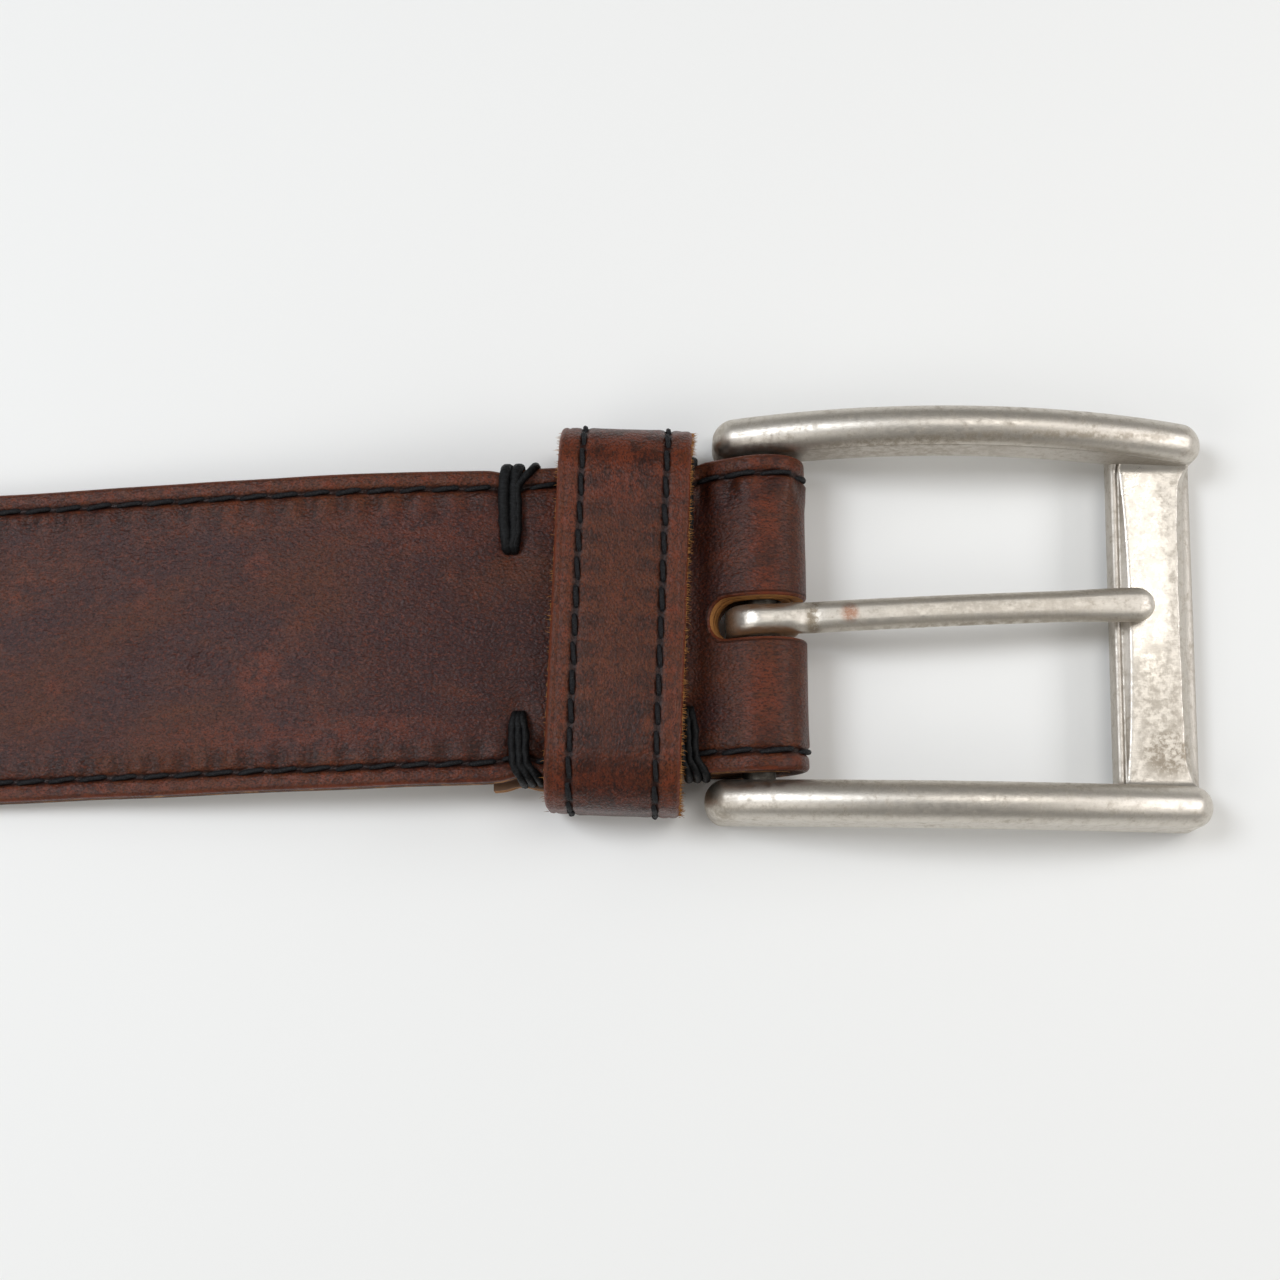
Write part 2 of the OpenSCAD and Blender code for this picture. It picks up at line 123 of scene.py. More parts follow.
class FinishSettings(bpy.types.PropertyGroup):
    strap_dark: shade("Strap, dark", "Deep tone of the strap's grain", (0.040, 0.0108, 0.0088))
    strap_brown: shade("Strap, brown", "Warm tone of the strap's grain", (0.086, 0.0245, 0.0090))
    strap_red: shade("Strap, rubbed", "Tone where the dye is rubbed through", (0.150, 0.031, 0.012))
    keeper_dark: shade("Keeper, dark", "Deep tone of the keeper", (0.028, 0.0085, 0.0060))
    keeper_brown: shade("Keeper, brown", "Warm tone of the keeper", (0.090, 0.0240, 0.0080))
    lining: shade("Lining", "Colour of the lining", (0.200, 0.105, 0.055))
    raw: shade("Raw edge", "Colour of cut, undyed leather", (0.42, 0.185, 0.050))
    edge: shade("Dressed edge", "Colour of the waxed strap edge", (0.060, 0.024, 0.019))
    grime: shade("Grime", "Colour in the pores of the grain", (0.008, 0.004, 0.0035))
    # Painted shade in the hollows between the puckers.
    pucker_shade: shade("Pucker", "Dark tone in the hollows beside a seam", (0.012, 0.005, 0.004))
    # Painted shade in the groove under each seam.
    groove: shade("Groove", "Dark tone of the groove under a seam", (0.006, 0.003, 0.003))
    scuff: shade("Scuff", "Pale tone of the scuffed grain", (0.16, 0.075, 0.045))
    scratch: shade("Scratch", "Pale tone of the scratches", (0.17, 0.085, 0.06))
    fibre: shade("Edge, dark", "Dark tone between the fibres of a cut edge", (0.022, 0.010, 0.007))
    thread: shade("Thread", "Colour of the sewing thread", (0.0065, 0.0065, 0.0075))
    thread_light: shade("Thread, light", "Light tone of its plies", (0.024, 0.024, 0.026))
    cord: shade("Cord", "Colour of the waxed cord", (0.0035, 0.0036, 0.0040))
    cord_light: shade("Cord, light", "Light tone of its plies", (0.013, 0.014, 0.015))
    lint: shade("Lint", "Colour of stray fibres", (0.20, 0.19, 0.17))
    nickel: shade("Nickel", "Colour of the clean metal", (0.64, 0.595, 0.53))
    # Painted shade: a darker copy of the nickel for the arms' inner walls and the front bar's walls and
    # ridge; it is also rougher.
    nickel_matt: shade("Nickel, matt", "Colour of the arms' inner walls", (0.56, 0.52, 0.465))
    tarnish: shade("Tarnish", "Colour of the dulled metal", (0.33, 0.275, 0.205))
    brushed: shade("Brushed lines", "Colour of fine lines in the metal", (0.30, 0.28, 0.25))
    # Painted shade: the heel bar sits in shade under the fold, so both of its colours below are painted
    # near black.
    heel: shade("Heel bar", "Colour of the hidden heel bar", (0.10, 0.09, 0.075))
    heel_painted_shade: shade("Heel bar, dark", "Its tarnish", (0.05, 0.04, 0.03))
    steel: shade("Staple", "Colour of the staple wire", (0.62, 0.60, 0.56))
    steel_dull: shade("Staple, dull", "Its tarnish", (0.30, 0.27, 0.22))
    rust: shade("Rust", "Colour of the rust spot", (0.36, 0.125, 0.045))
    floor: shade("Table", "Colour of the table", (0.88, 0.877, 0.858))
    floor_worn: shade("Table, worn", "Second tone of the table", (0.85, 0.845, 0.83))


class StageSettings(bpy.types.PropertyGroup):
    lens: FloatProperty(
        name="Lens", description="Focal length on a 36 mm sensor", default=53.4375, unit="CAMERA"
    )
    camera_place: FloatVectorProperty(
        name="Camera place", description="Camera, from the point below the heel bar",
        default=(-0.012245, -0.045866, 0.240724), subtype="TRANSLATION", unit="LENGTH",
    )
    camera_turn: FloatVectorProperty(
        name="Camera turn", description="Roll about Y, tilt about X and turn about Z",
        default=(math.radians(0.732), math.radians(10.513), math.radians(-1.755)), subtype="EULER",
    )


class BeltSettings(bpy.types.PropertyGroup):
    strap: PointerProperty(type=StrapSettings)
    stitch: PointerProperty(type=StitchSettings)
    keeper: PointerProperty(type=KeeperSettings)
    buckle: PointerProperty(type=BuckleSettings)
    finish: PointerProperty(type=FinishSettings)
    stage: PointerProperty(type=StageSettings)


def settings():
    return bpy.context.scene.leather_belt


# ---------------------------------------------------------------- number helpers


def smooth(low, high, value):
    """Smooth step from 0 at low to 1 at high."""
    t = np.clip((value - low) / (high - low), 0.0, 1.0)
    return t * t * (3.0 - 2.0 * t)


def hump(value, middle, width):
    """Bell of height 1 about middle."""
    return np.exp(-(((value - middle) / width) ** 2))


def band(value, low, high, soft):
    """1 from low to high, falling to 0 over soft outside."""
    return smooth(low - soft, low, value) * (1.0 - smooth(high, high + soft, value))


def wander(seed, size, *axes):
    """Smooth, repeatable unevenness of about -1 to 1, with features of the given size."""
    draw = np.random.default_rng(seed)
    waves = 14
    total = 0.0
    for _ in range(waves):
        way = draw.normal(size=len(axes))
        way *= 2.0 * math.pi / (size * draw.uniform(0.8, 2.2)) / np.linalg.norm(way)
        total = total + np.sin(sum(w * a for w, a in zip(way, axes)) + draw.uniform(0, 2 * math.pi))
    return total / math.sqrt(waves) / 1.2


def through(points, steps):
    """Smooth line through the points, with steps pieces between each two."""
    p = np.asarray(points, float)
    p = np.vstack([2 * p[0] - p[1], p, 2 * p[-1] - p[-2]])
    t = np.arange(steps)[:, None] / steps
    rows = []
    for a, b, c, d in zip(p[:-3], p[1:-2], p[2:-1], p[3:]):
        rows.append(
            0.5 * (2 * b + (c - a) * t + (2 * a - 5 * b + 4 * c - d) * t**2
                   + (3 * b - a - 3 * c + d) * t**3)
        )
    return np.vstack(rows + [p[-2][None]])


def turned(points, angle):
    """Points turned clockwise, as seen from above, about the upright through the bar."""
    c, s = math.cos(angle), math.sin(angle)
    x, y, z = points[..., 0], points[..., 1], points[..., 2]
    return np.stack([x * c + y * s, y * c - x * s, z], -1)


# ---------------------------------------------------------------- mesh helpers


def new_piece(name, points, faces, materials, kinds=None, fields=None, body=None):
    """Makes one smooth-shaded object from points in millimetres about the bar. fields are
    named values of each point that its materials read. kinds are the faces' materials."""
    mesh = bpy.data.meshes.new(name)
    place = np.asarray(points, float) / METRE
    place[:, 0] += BAR.x
    mesh.from_pydata(place.tolist(), [], faces)
    for material in materials:
        mesh.materials.append(material)
    mesh.polygons.foreach_set("use_smooth", np.ones(len(faces), bool))
    if kinds is not None:
        mesh.polygons.foreach_set("material_index", np.asarray(kinds, np.int32))
    for label, values in (fields or {}).items():
        values = np.asarray(values, np.float32)
        kind, slot = ("FLOAT_VECTOR", "vector") if values.ndim == 2 else ("FLOAT", "value")
        mesh.attributes.new(label, kind, "POINT").data.foreach_set(slot, values.ravel())
    mesh.validate()
    mesh.update()
    piece = bpy.data.objects.new(name, mesh)
    bpy.context.scene.collection.objects.link(piece)
    if body:
        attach(piece, body)
    return piece


def corded(name, made, material, body):
    """Makes a piece from the points, faces and run field that tubes and stitches give."""
    points, faces, run = made
    return new_piece(name, points, faces, [material], None, {"run": run}, body)


def crease(piece, degrees):
    """Keeps edges sharper than this angle crisp under smooth shading."""
    piece.data.set_sharp_from_angle(angle=math.radians(degrees))


def flat_net(travel, across, cuts):
    """Net of four-sided cells over travel and across. The cells about each cut are replaced
    by rings that close on its rounded outline. A cut is start, end, middle, radius, margin."""
    nu, nv = len(travel), len(across)
    grid = np.stack(np.meshgrid(travel, across, indexing="ij"), -1).reshape(-1, 2)
    number = np.arange(nu * nv).reshape(nu, nv)
    keep = np.ones((nu - 1, nv - 1), bool)
    points, cells, count = [grid], [], nu * nv
    for start, end, middle, radius, margin in cuts:
        i0 = np.searchsorted(travel, start - radius - margin) - 1
        i1 = np.searchsorted(travel, end + radius + margin)
        j0 = np.searchsorted(across, middle - radius - margin) - 1
        j1 = np.searchsorted(across, middle + radius + margin)
        keep[i0:i1, j0:j1] = False
        loop = np.concatenate(
            [number[i0, j0:j1], number[i0:i1, j1], number[i1, j1:j0:-1], number[i1:i0:-1, j0]]
        )
        outer = grid[loop]
        spine = np.stack([np.clip(outer[:, 0], start, end), np.full(len(loop), middle)], -1)
        away = outer - spine
        inner = spine + away / np.linalg.norm(away, axis=1)[:, None] * radius
        last = loop
        for share in (0.62, 0.36, 0.2, 0.1, 0.035, 0.0):
            points.append(inner + (outer - inner) * share)
            ring = np.arange(count, count + len(loop))
            count += len(loop)
            cells.append(np.stack([last, ring, np.roll(ring, -1), np.roll(last, -1)], -1))
            last = ring
    i, j = np.nonzero(keep)
    cells.append(np.stack([number[i, j], number[i + 1, j], number[i + 1, j + 1], number[i, j + 1]], -1))
    points, cells = np.vstack(points), np.vstack(cells)
    used, packed = np.unique(cells, return_inverse=True)
    return points[used], packed.reshape(-1, 4)


def rim(cells):
    """The directed edges of a net that only one cell has."""
    edges = np.vstack([cells[:, [k, (k + 1) % 4]] for k in range(4)])
    forward = {(a, b) for a, b in edges.tolist()}
    return np.array([e for e in edges.tolist() if (e[1], e[0]) not in forward])


def leather_sheet(net, cells, place, top, bottom, rough=0.0):
    """Closed sheet between two offsets from place. Returns its points, faces, face kinds
    (0 grain, 1 underside, 2 cut edge) and the net point that each point belongs to."""
    n = len(net)
    u, v = net[:, 0], net[:, 1]
    points = [place(u, v, top), place(u, v, bottom)]
    edges = rim(cells)
    walls = np.unique(edges)
    lookup = np.full(n, -1)
    lookup[walls] = np.arange(len(walls))
    rows, first = 3, 2 * n
    layers = [edges]
    source = [np.arange(n), np.arange(n)]
    for k in range(1, rows):
        share = k / rows
        wu, wv = u[walls], v[walls]
        lift = top[walls] * (1 - share) + bottom[walls] * share
        shake = rough * wander(31 + k, 0.9, wu, wv)
        points.append(place(wu, wv + shake * np.sign(wv), lift))
        source.append(walls)
        layers.append(lookup[edges] + first)
        first += len(walls)
    layers.append(edges + n)
    faces = [cells, cells[:, ::-1] + n]
    kinds = [np.zeros(len(cells)), np.ones(len(cells))]
    for above, below in zip(layers[:-1], layers[1:]):
        faces.append(np.stack([above[:, 0], below[:, 0], below[:, 1], above[:, 1]], -1))
        kinds.append(np.full(len(edges), 2))
    faces = np.vstack(faces).tolist()
    return np.vstack(points), faces, np.concatenate(kinds), np.concatenate(source)


def loft(rings, closed_ends=True):
    """Faces over rings of points with the same count, capped at both ends."""
    n, m = rings.shape[:2]
    first = np.arange(n - 1)[:, None] * m
    a = (first + np.arange(m)).ravel()
    b = (first + np.roll(np.arange(m), -1)).ravel()
    faces = np.stack([a, b, b + m, a + m], -1).tolist()
    if closed_ends:
        faces.append(list(range(m))[::-1])
        faces.append(list(range((n - 1) * m, n * m)))
    return rings.reshape(-1, 3), faces


def tube(path, wide, high, side, sides=10, lobes=0, turns=0.0, depth=0.0):
    """Closed tube along a line of points. wide and high are half sizes, along side and at
    right angles to it. lobes, turns and depth twist strands into its surface."""
    way = np.gradient(path, axis=0)
    way /= np.linalg.norm(way, axis=1)[:, None]
    side = np.broadcast_to(np.asarray(side, float), path.shape)
    side = side - (side * way).sum(1)[:, None] * way
    side /= np.linalg.norm(side, axis=1)[:, None]
    up = np.cross(way, side)
    n = len(path)
    run = np.concatenate([[0], np.cumsum(np.linalg.norm(np.diff(path, axis=0), axis=1))])
    angle = np.arange(sides) * 2 * math.pi / sides
    size = 1.0 + depth * np.cos(lobes * angle[None] - turns * run[:, None])
    wide, high = (size * np.broadcast_to(value, n)[:, None] for value in (wide, high))
    ring = path[:, None] + side[:, None] * (np.cos(angle) * wide)[..., None]
    ring = ring + up[:, None] * (np.sin(angle) * high)[..., None]
    points, faces = loft(ring)
    return points, faces, np.stack([np.repeat(run, sides), np.tile(angle, n), np.zeros(n * sides)], -1)


def gathered(parts):
    """Joins several points, faces, field triples into one."""
    points, faces, fields, count = [], [], [], 0
    for p, f, g in parts:
        points.append(p)
        faces.extend([[k + count for k in face] for face in f])
        fields.append(g)
        count += len(p)
    return np.vstack(points), faces, np.vstack(fields)


def joined(piece, others, operation):
    """Applies an exact boolean of the others to the piece and deletes them."""
    for other in others:
        cutter = piece.modifiers.new("join", "BOOLEAN")
        cutter.operation = operation
        cutter.solver = "EXACT"
        cutter.object = other
    ready = piece.evaluated_get(bpy.context.evaluated_depsgraph_get())
    mesh = bpy.data.meshes.new_from_object(ready)
    piece.modifiers.clear()
    old, piece.data = piece.data, mesh
    bpy.data.meshes.remove(old)
    mesh.name = piece.name
    for other in others:
        bpy.data.objects.remove(other)
    mesh.polygons.foreach_set("use_smooth", np.ones(len(mesh.polygons), bool))
    return piece


def outward(piece):
    """Turns every face outward."""
    net = bmesh.new()
    net.from_mesh(piece.data)
    bmesh.ops.recalc_face_normals(net, faces=net.faces)
    net.to_mesh(piece.data)
    net.free()


# ---------------------------------------------------------------- strap shape


class StrapShape:
    """Path and plan of the strap, in millimetres. Travel runs from the tip to the bar,
    round it and back along the turned-back end."""

    bar_height = 6.2
    fold_gap = 0.3
    fold_run = 8.5
    return_height = 2.4
    ramp = 80.0
    tip_flank = 6.0
    slot_reach = 6.2
    low_slot_reach = 5.8
    slot_half = 2.6
    slot_middle = -0.75
    seam_groove = 0.42
    fold_twist = 0.42
    fine_reach = 130.0
    seen_reach = 150.0
    nose_steps = 120
    skin = 0.05
    worn = 0.06
    pinch = 0.55
    taper = 0.32
    fold_narrow = 0.2
    top_round = 0.6
    cut_round = 0.4
    # Tacks: distance behind the bar, inner end, side, and shift of the cord at the edge
    tacks = ((31.0, 8.8, 1, 0.4), (30.4, 11.5, -1, 1.2), (9.3, 9.2, 1, 0.3), (9.7, 11.6, -1, 0.9))

    def __init__(self):
        cfg = settings()
        self.half = cfg.strap.width * METRE / 2
        self.length = cfg.strap.length * METRE
        self.face = cfg.strap.face * METRE
        self.total = self.face + cfg.strap.lining * METRE
        self.split = self.total / 2 - self.face
        self.tip_radius = cfg.strap.tip_radius * METRE
        self.tip_length = math.sqrt(self.tip_radius**2 - self.tip_flank**2)
        self.back = cfg.strap.return_length * METRE
        self.skew = cfg.buckle.skew
        self.inset = cfg.stitch.inset * METRE
        self.pitch = cfg.stitch.pitch * METRE
        self.pucker = cfg.strap.pucker * METRE
        self.radius = cfg.buckle.bar_radius * METRE + self.fold_gap + self.total / 2
        self.level = self.total / 2
        self.return_level = self.return_height + self.total / 2
        self.stack_level = self.return_height + 1.5 * self.total
        self.lay_out()

    def middle_height(self, behind):
        t = np.clip((behind - self.back - 2.0) / self.ramp, 0, 1)
        return self.level + (self.stack_level - self.level) * (1 + np.cos(math.pi * t)) / 2

    def lay_out(self):
        run = self.fold_run
        far = np.linspace(-self.length, -self.fine_reach, 500)
        near = np.linspace(-self.fine_reach, -run, 400)[1:]
        leg = np.linspace(run, 0, 60)[1:-1]
        t = (1 - np.cos(math.pi * leg / run)) / 2
        top = self.bar_height + self.radius
        low = self.bar_height - self.radius
        a = np.radians(np.linspace(90, -90, self.nose_steps))
        back = np.linspace(-run, -self.back, 120)[1:]
        x = np.concatenate([far, near, -leg, self.radius * np.cos(a), -leg[::-1], [-run], back])
        z = np.concatenate([
            self.middle_height(-far), self.middle_height(-near), top - (top - self.stack_level) * t,
            self.bar_height + self.radius * np.sin(a),
            (low - (low - self.return_level) * t)[::-1], [self.return_level],
            np.full(len(back), self.return_level),
        ])
        step = np.hypot(np.diff(x), np.diff(z))
        self.travel = np.concatenate([[0], np.cumsum(step)])
        dx, dz = np.gradient(x, self.travel), np.gradient(z, self.travel)
        size = np.hypot(dx, dz)
        self.x, self.z, self.out_x, self.out_z = x, z, -dz / size, dx / size
        self.end = self.travel[-1]
        self.nose = len(far) + len(near) + len(leg)
        self.nose_start, self.nose_end = self.travel[self.nose], self.travel[self.nose + len(a) - 1]

    def along(self, travel, values):
        """One of the path's values at a travel."""
        return np.interp(travel, self.travel, values)

    def top_travel(self, x):
        """Travel where the upper layer passes x."""
        return np.interp(x, self.x[: self.nose + 1], self.travel[: self.nose + 1])

    def low_travel(self, x):
        """Travel where the lower layer passes x."""
        first = self.nose + self.nose_steps - 1
        return np.interp(-np.asarray(x, float), -self.x[first:], self.travel[first:])

    def place(self, travel, across, lift):
        """Points at a travel along the strap, a distance across and a lift from its middle."""
        x, z = self.along(travel, self.x), self.along(travel, self.z)
        out_x, out_z = self.along(travel, self.out_x), self.along(travel, self.out_z)
        share = 1 - smooth(12, 30, -x)
        x, z = x + out_x * lift, z + out_z * lift
        x = x + share * (x * (1 / math.cos(self.skew) - 1) + across * math.tan(self.skew))
        ply = np.clip((lift - self.split) / self.face, 0, 1)
        x = x - self.fold_twist * np.clip(out_x, 0, 1) * ply * across / self.half
        return np.stack([x, across + 0 * x, z], -1)

    def half_width(self, travel, side):
        """Half width of the strap, with the tip, worn edges and the pinch of each tack."""
        x = self.along(travel, self.x)
        lower = travel > self.nose_end
        past = np.clip(self.tip_length - self.length - x, 0, self.tip_length)
        tip = np.sqrt(np.maximum(self.tip_radius**2 - past**2, 0)) - self.tip_flank
        half = np.minimum(self.half, np.maximum(tip, 0.0))
        half = half - self.fold_narrow * (1 - smooth(12, 16, -x))
        taper = np.where(side > 0, self.taper, 0.0)
        half = half - taper * (1 - smooth(28, 62, -x)) * smooth(12, 20, -x)
        half = half - self.worn + self.worn * wander(3, 16, travel + 500 * side)
        for behind, _, tack_side, _ in self.tacks:
            half = half - np.where(side == tack_side, self.pinch, 0.0) * hump(x, -behind, 1.7)
        flare = band(-x, 24.0, 40.0, 4.0) * lower
        return half + flare * np.where(side > 0, 0.5, 0.8)

    def edge_gap(self, travel, across):
        """Distance in from the strap's outline."""
        side = np.where(across < 0, -1, 1)
        gap = self.half_width(travel, side) - np.abs(across)
        x = self.along(travel, self.x)
        past = self.tip_length - self.length - x
        reach = np.hypot(past, np.abs(across) + self.tip_flank)
        tip_gap = self.tip_radius - self.worn - reach
        gap = np.where(past > 0, np.minimum(gap, tip_gap), gap)
        return np.clip(np.minimum(gap, self.end - travel), 0.0, None)

    def cuts(self):
        """Slot and holes as start, end, middle, radius and margin."""
        cfg = settings().strap
        r = self.slot_half
        rows = [(
            self.top_travel(-self.slot_reach + r), self.low_travel(-self.low_slot_reach + r),
            self.slot_middle, r, 1.1,
        )]
        for k in range(cfg.hole_count):
            x = -(cfg.middle_hole + (k - (cfg.hole_count - 1) / 2) * cfg.hole_pitch) * METRE
            t = self.top_travel(x)
            rows.append((t, t, 0.0, cfg.hole_width * METRE / 2, 1.1))
        return rows

    def cut_gap(self, travel, across):
        """Distance out from the slot and holes."""
        gap = np.full(len(travel), 50.0)
        for start, end, middle, radius, _ in self.cuts():
            reach = np.hypot(travel - np.clip(travel, start, end), across - middle) - radius
            gap = np.minimum(gap, reach)
        return np.clip(gap, 0.0, None)

    def travel_steps(self, coarse):
        """Places along the strap for the net's rows, closer at the tip, fold and ends."""
        a = np.linspace(0.08, 1, 26 if coarse else 44)
        tip = -self.length + self.tip_length * (1 - np.sqrt(np.clip(1 - a**2, 0, 1))) + 0.1
        tip = self.top_travel(tip)
        seen = self.top_travel(-self.seen_reach)
        fold = self.top_travel(-14.0)
        step = 2.2 if coarse else self.pitch / 4
        rows = [tip, np.arange(tip[-1] + step, seen, step)]
        step = 1.4 if coarse else self.pitch / 8
        rows.append(np.arange(seen, fold, step))
        rows.append(np.arange(fold, self.nose_end + 10, 0.9 if coarse else 0.45))
        rows.append(np.arange(self.nose_end + 10, self.end - 1.2, 1.2 if coarse else 0.6))
        rows.append(self.end - np.array([0.9, 0.6, 0.4, 0.25, 0.12, 0.04, 0.0]))
        return np.unique(np.concatenate(rows).round(5))

    def width_steps(self, coarse):
        """Places across the strap for the net's columns, at its full width."""
        if coarse:
            half = [
                20, 19.93, 19.8, 19.6, 19.3, 18.7, 18.1, 17.85, 17.6, 17.35, 17.0, 16.0, 14, 12, 10, 8, 6,
            ]
        else:
            half = [
                20, 19.96, 19.87, 19.74, 19.57, 19.35, 19.05, 18.7, 18.35, 18.1, 17.92, 17.76, 17.6,
                17.44, 17.28, 17.1, 16.8, 16.45, 16.0, 15.5, 14.9, 14.2, 13.4, 12.5, 11.5, 10.5,
                9.4, 8.3, 7.2, 6.1,
            ]
        inner = [-5.0, -4.2, -3.4, -2.6, -1.7, -0.85, 0.0, 0.85, 1.7, 2.6, 3.4, 4.2, 5.0]
        scale = self.half / 20
        return np.array([-h for h in half] + inner + half[::-1]) * scale

    def rounding(self, gap, radius):
        """Drop of a surface that rounds over at its edge."""
        near = np.clip(radius - gap, 0, radius)
        return radius - np.sqrt(np.maximum(radius**2 - near**2, 0))

    def face_top(self, travel, across):
        """Lift of the grain surface: groove, puckers, creases and dents of the tacks."""
        gap = self.edge_gap(travel, across)
        x = self.along(travel, self.x)
        lower = travel > self.nose_end
        side = np.where(across < 0, -1, 1)
        seam = gap - self.inset
        top = np.full(len(travel), self.total / 2) - self.skin
        top -= self.rounding(gap, self.top_round)
        top -= self.rounding(self.cut_gap(travel, across), self.cut_round)
        top -= self.seam_groove * hump(seam, 0, 0.5)
        wave = np.cos(2 * math.pi * travel / self.pitch + 0.6 * side)
        strength = 0.55 + 0.45 * wander(11, 45, travel + 300 * side)
        reach = smooth(0.1, 0.7, seam) * (1 - smooth(1.0, 4.4, seam))
        top += self.pucker * strength * reach * wave * (1 + 0.35 * wander(12, 3.0, travel, across))
        top += 0.27 * self.pucker * wave * (1 - smooth(0.5, 1.9, -seam)) * (seam < 0)
        top += 0.035 * wander(5, 26, travel, across) + 0.018 * wander(6, 7, travel, across)
        flex = hump(x, -73, 11) * hump(across, -1.0, 6.5) * (~lower)
        ridges = wander(8, 3.2, travel - 0.55 * across, across * 0.35)
        top -= 0.20 * flex * np.abs(ridges) ** 1.5
        flex = hump(x, -40, 16) * hump(across, 2.0, 9.0) * (~lower)
        top -= 0.05 * flex * np.abs(wander(9, 3.4, travel * 0.8, across * 0.9))
        for behind, inner, tack_side, shift in self.tacks:
            lean = shift * smooth(0.72, 1.02, (np.abs(across) - inner) / (self.half - inner))
            near = hump(x - lean * np.where(lower, 0, 1), -behind, 1.75) ** 2
            along = smooth(inner - 1.3, inner + 0.3, across * tack_side)
            top -= np.where(lower, 0.95, 0.16) * near * along
            top -= 0.3 * (~lower) * hump(np.hypot(x + behind, across * tack_side - inner + 0.2), 0, 1.9)
        return np.maximum(top, self.split + 0.25)

    def lining_low(self, travel, across):
        """Lift of the lining's outer surface."""
        gap = self.edge_gap(travel, across)
        low = np.full(len(travel), -self.total / 2) + self.rounding(gap, 0.45)
        low += self.rounding(self.cut_gap(travel, across), 0.25)
        low += 0.34 * hump(gap - self.inset, 0, 0.5)
        wave = np.cos(2 * math.pi * travel / self.pitch)
        low += 0.05 * (1 + wave) * hump(gap - self.inset, 1.2, 1.0)
        return np.minimum(low, self.split - 0.25)


def strap_fields(shape, net, source):
    """Plan of each point: travel, distance across, and distance in from the nearest edge."""
    u, v = net[source, 0], net[source, 1]
    cut = shape.cut_gap(u, v)
    gap = np.where(cut < 0.45, cut, shape.edge_gap(u, v))
    return {"plan": np.stack([u, v, gap], -1)}


def strap_net(shape, coarse):
    """Net of the strap drawn in to its true width, with its slot and holes."""
    net, cells = flat_net(shape.travel_steps(coarse), shape.width_steps(coarse), shape.cuts())
    side = np.where(net[:, 1] < 0, -1, 1)
    # Near the slot and holes the width stays true, so that their outlines stay round.
    local = net[:, 1] * (shape.half_width(net[:, 0], side) / shape.half)
    blend = smooth(5.0, 9.0, np.abs(net[:, 1]))
    tip = smooth(shape.tip_length, shape.tip_length + 6, net[:, 0])
    net[:, 1] = local * (1 - tip * (1 - blend)) + net[:, 1] * tip * (1 - blend)
    return net, cells


# ---------------------------------------------------------------- stitches


def stitch_row(centres, headings, length, thickness, place, lift, slant, sink, seed):
    """One plump twisted stitch at each centre of a seam, its ends dipping into the leather.
    place maps travel, across and lift to points; lift is that of the thread's middle."""
    rings, sides = 11, 8
    draw = np.random.default_rng(seed)
    n = len(centres)
    t = np.linspace(-1, 1, rings)
    angle = np.arange(sides) * 2 * math.pi / sides
    swell = 0.5 * thickness * (1 - 0.28 * np.abs(t) ** 3) * np.where(np.abs(t) > 0.99, 0.55, 1.0)
    plump = 1 + draw.uniform(-0.06, 0.08, n)[:, None, None]
    phase = draw.uniform(0, 6.3, n)[:, None, None]
    lobes = 1 + 0.11 * np.cos(2 * angle[None, None] - 7.0 * t[None, :, None] + phase)
    radius = swell[None, :, None] * plump * lobes
    run = (t[None] * length / 2 * (1 + draw.uniform(-0.05, 0.05, n)[:, None]))[..., None]
    lean = (t[None] * (slant + draw.uniform(-0.07, 0.07, n)[:, None]))[..., None]
    dip = -sink * np.abs(t)[None, :, None] ** 5
    aside = lean + radius * np.cos(angle)
    rise = lift[:, None, None] + dip + radius * np.sin(angle) * 0.92
    c, s = np.cos(headings)[:, None, None], np.sin(headings)[:, None, None]
    travel = centres[:, 0, None, None] + run * c - aside * s
    across = centres[:, 1, None, None] + run * s + aside * c
    points = place(travel.ravel(), across.ravel(), rise.ravel())
    one = loft(points[: rings * sides].reshape(rings, sides, 3))[1]
    faces = [[k + base for k in face] for base in range(0, len(points), rings * sides) for face in one]
    run_field = np.broadcast_to(centres[:, 0, None, None] + run, aside.shape).ravel()
    turn_field = np.broadcast_to(angle, aside.shape).ravel()
    return points, faces, np.stack([run_field, turn_field, 0 * run_field], -1)


def seam_centres(shape):
    """Middle and heading of every stitch: both edge rows, then the two arcs of the tip."""
    first = shape.top_travel(shape.tip_length - shape.length)
    rows, headings = [], []
    steps = np.arange(first + 0.5 * shape.pitch, shape.end - 1.9, shape.pitch)
    for side in (-1, 1):
        seam = shape.half_width(steps, side) - shape.inset
        rows.append(np.stack([steps, side * seam], -1))
        headings.append(np.zeros(len(steps)))
    radius = shape.tip_radius - shape.inset
    sweep = math.acos(shape.tip_flank / radius)
    count = int(round(radius * sweep / shape.pitch))
    a = (np.arange(count) + 0.5) / count * sweep
    for side in (-1, 1):
        x = first - radius * np.sin(a)
        y = side * (radius * np.cos(a) - shape.tip_flank)
        rows.append(np.stack([x, y], -1))
        headings.append(side * a)
    return np.vstack(rows), np.concatenate(headings)


# ---------------------------------------------------------------- cord tacks


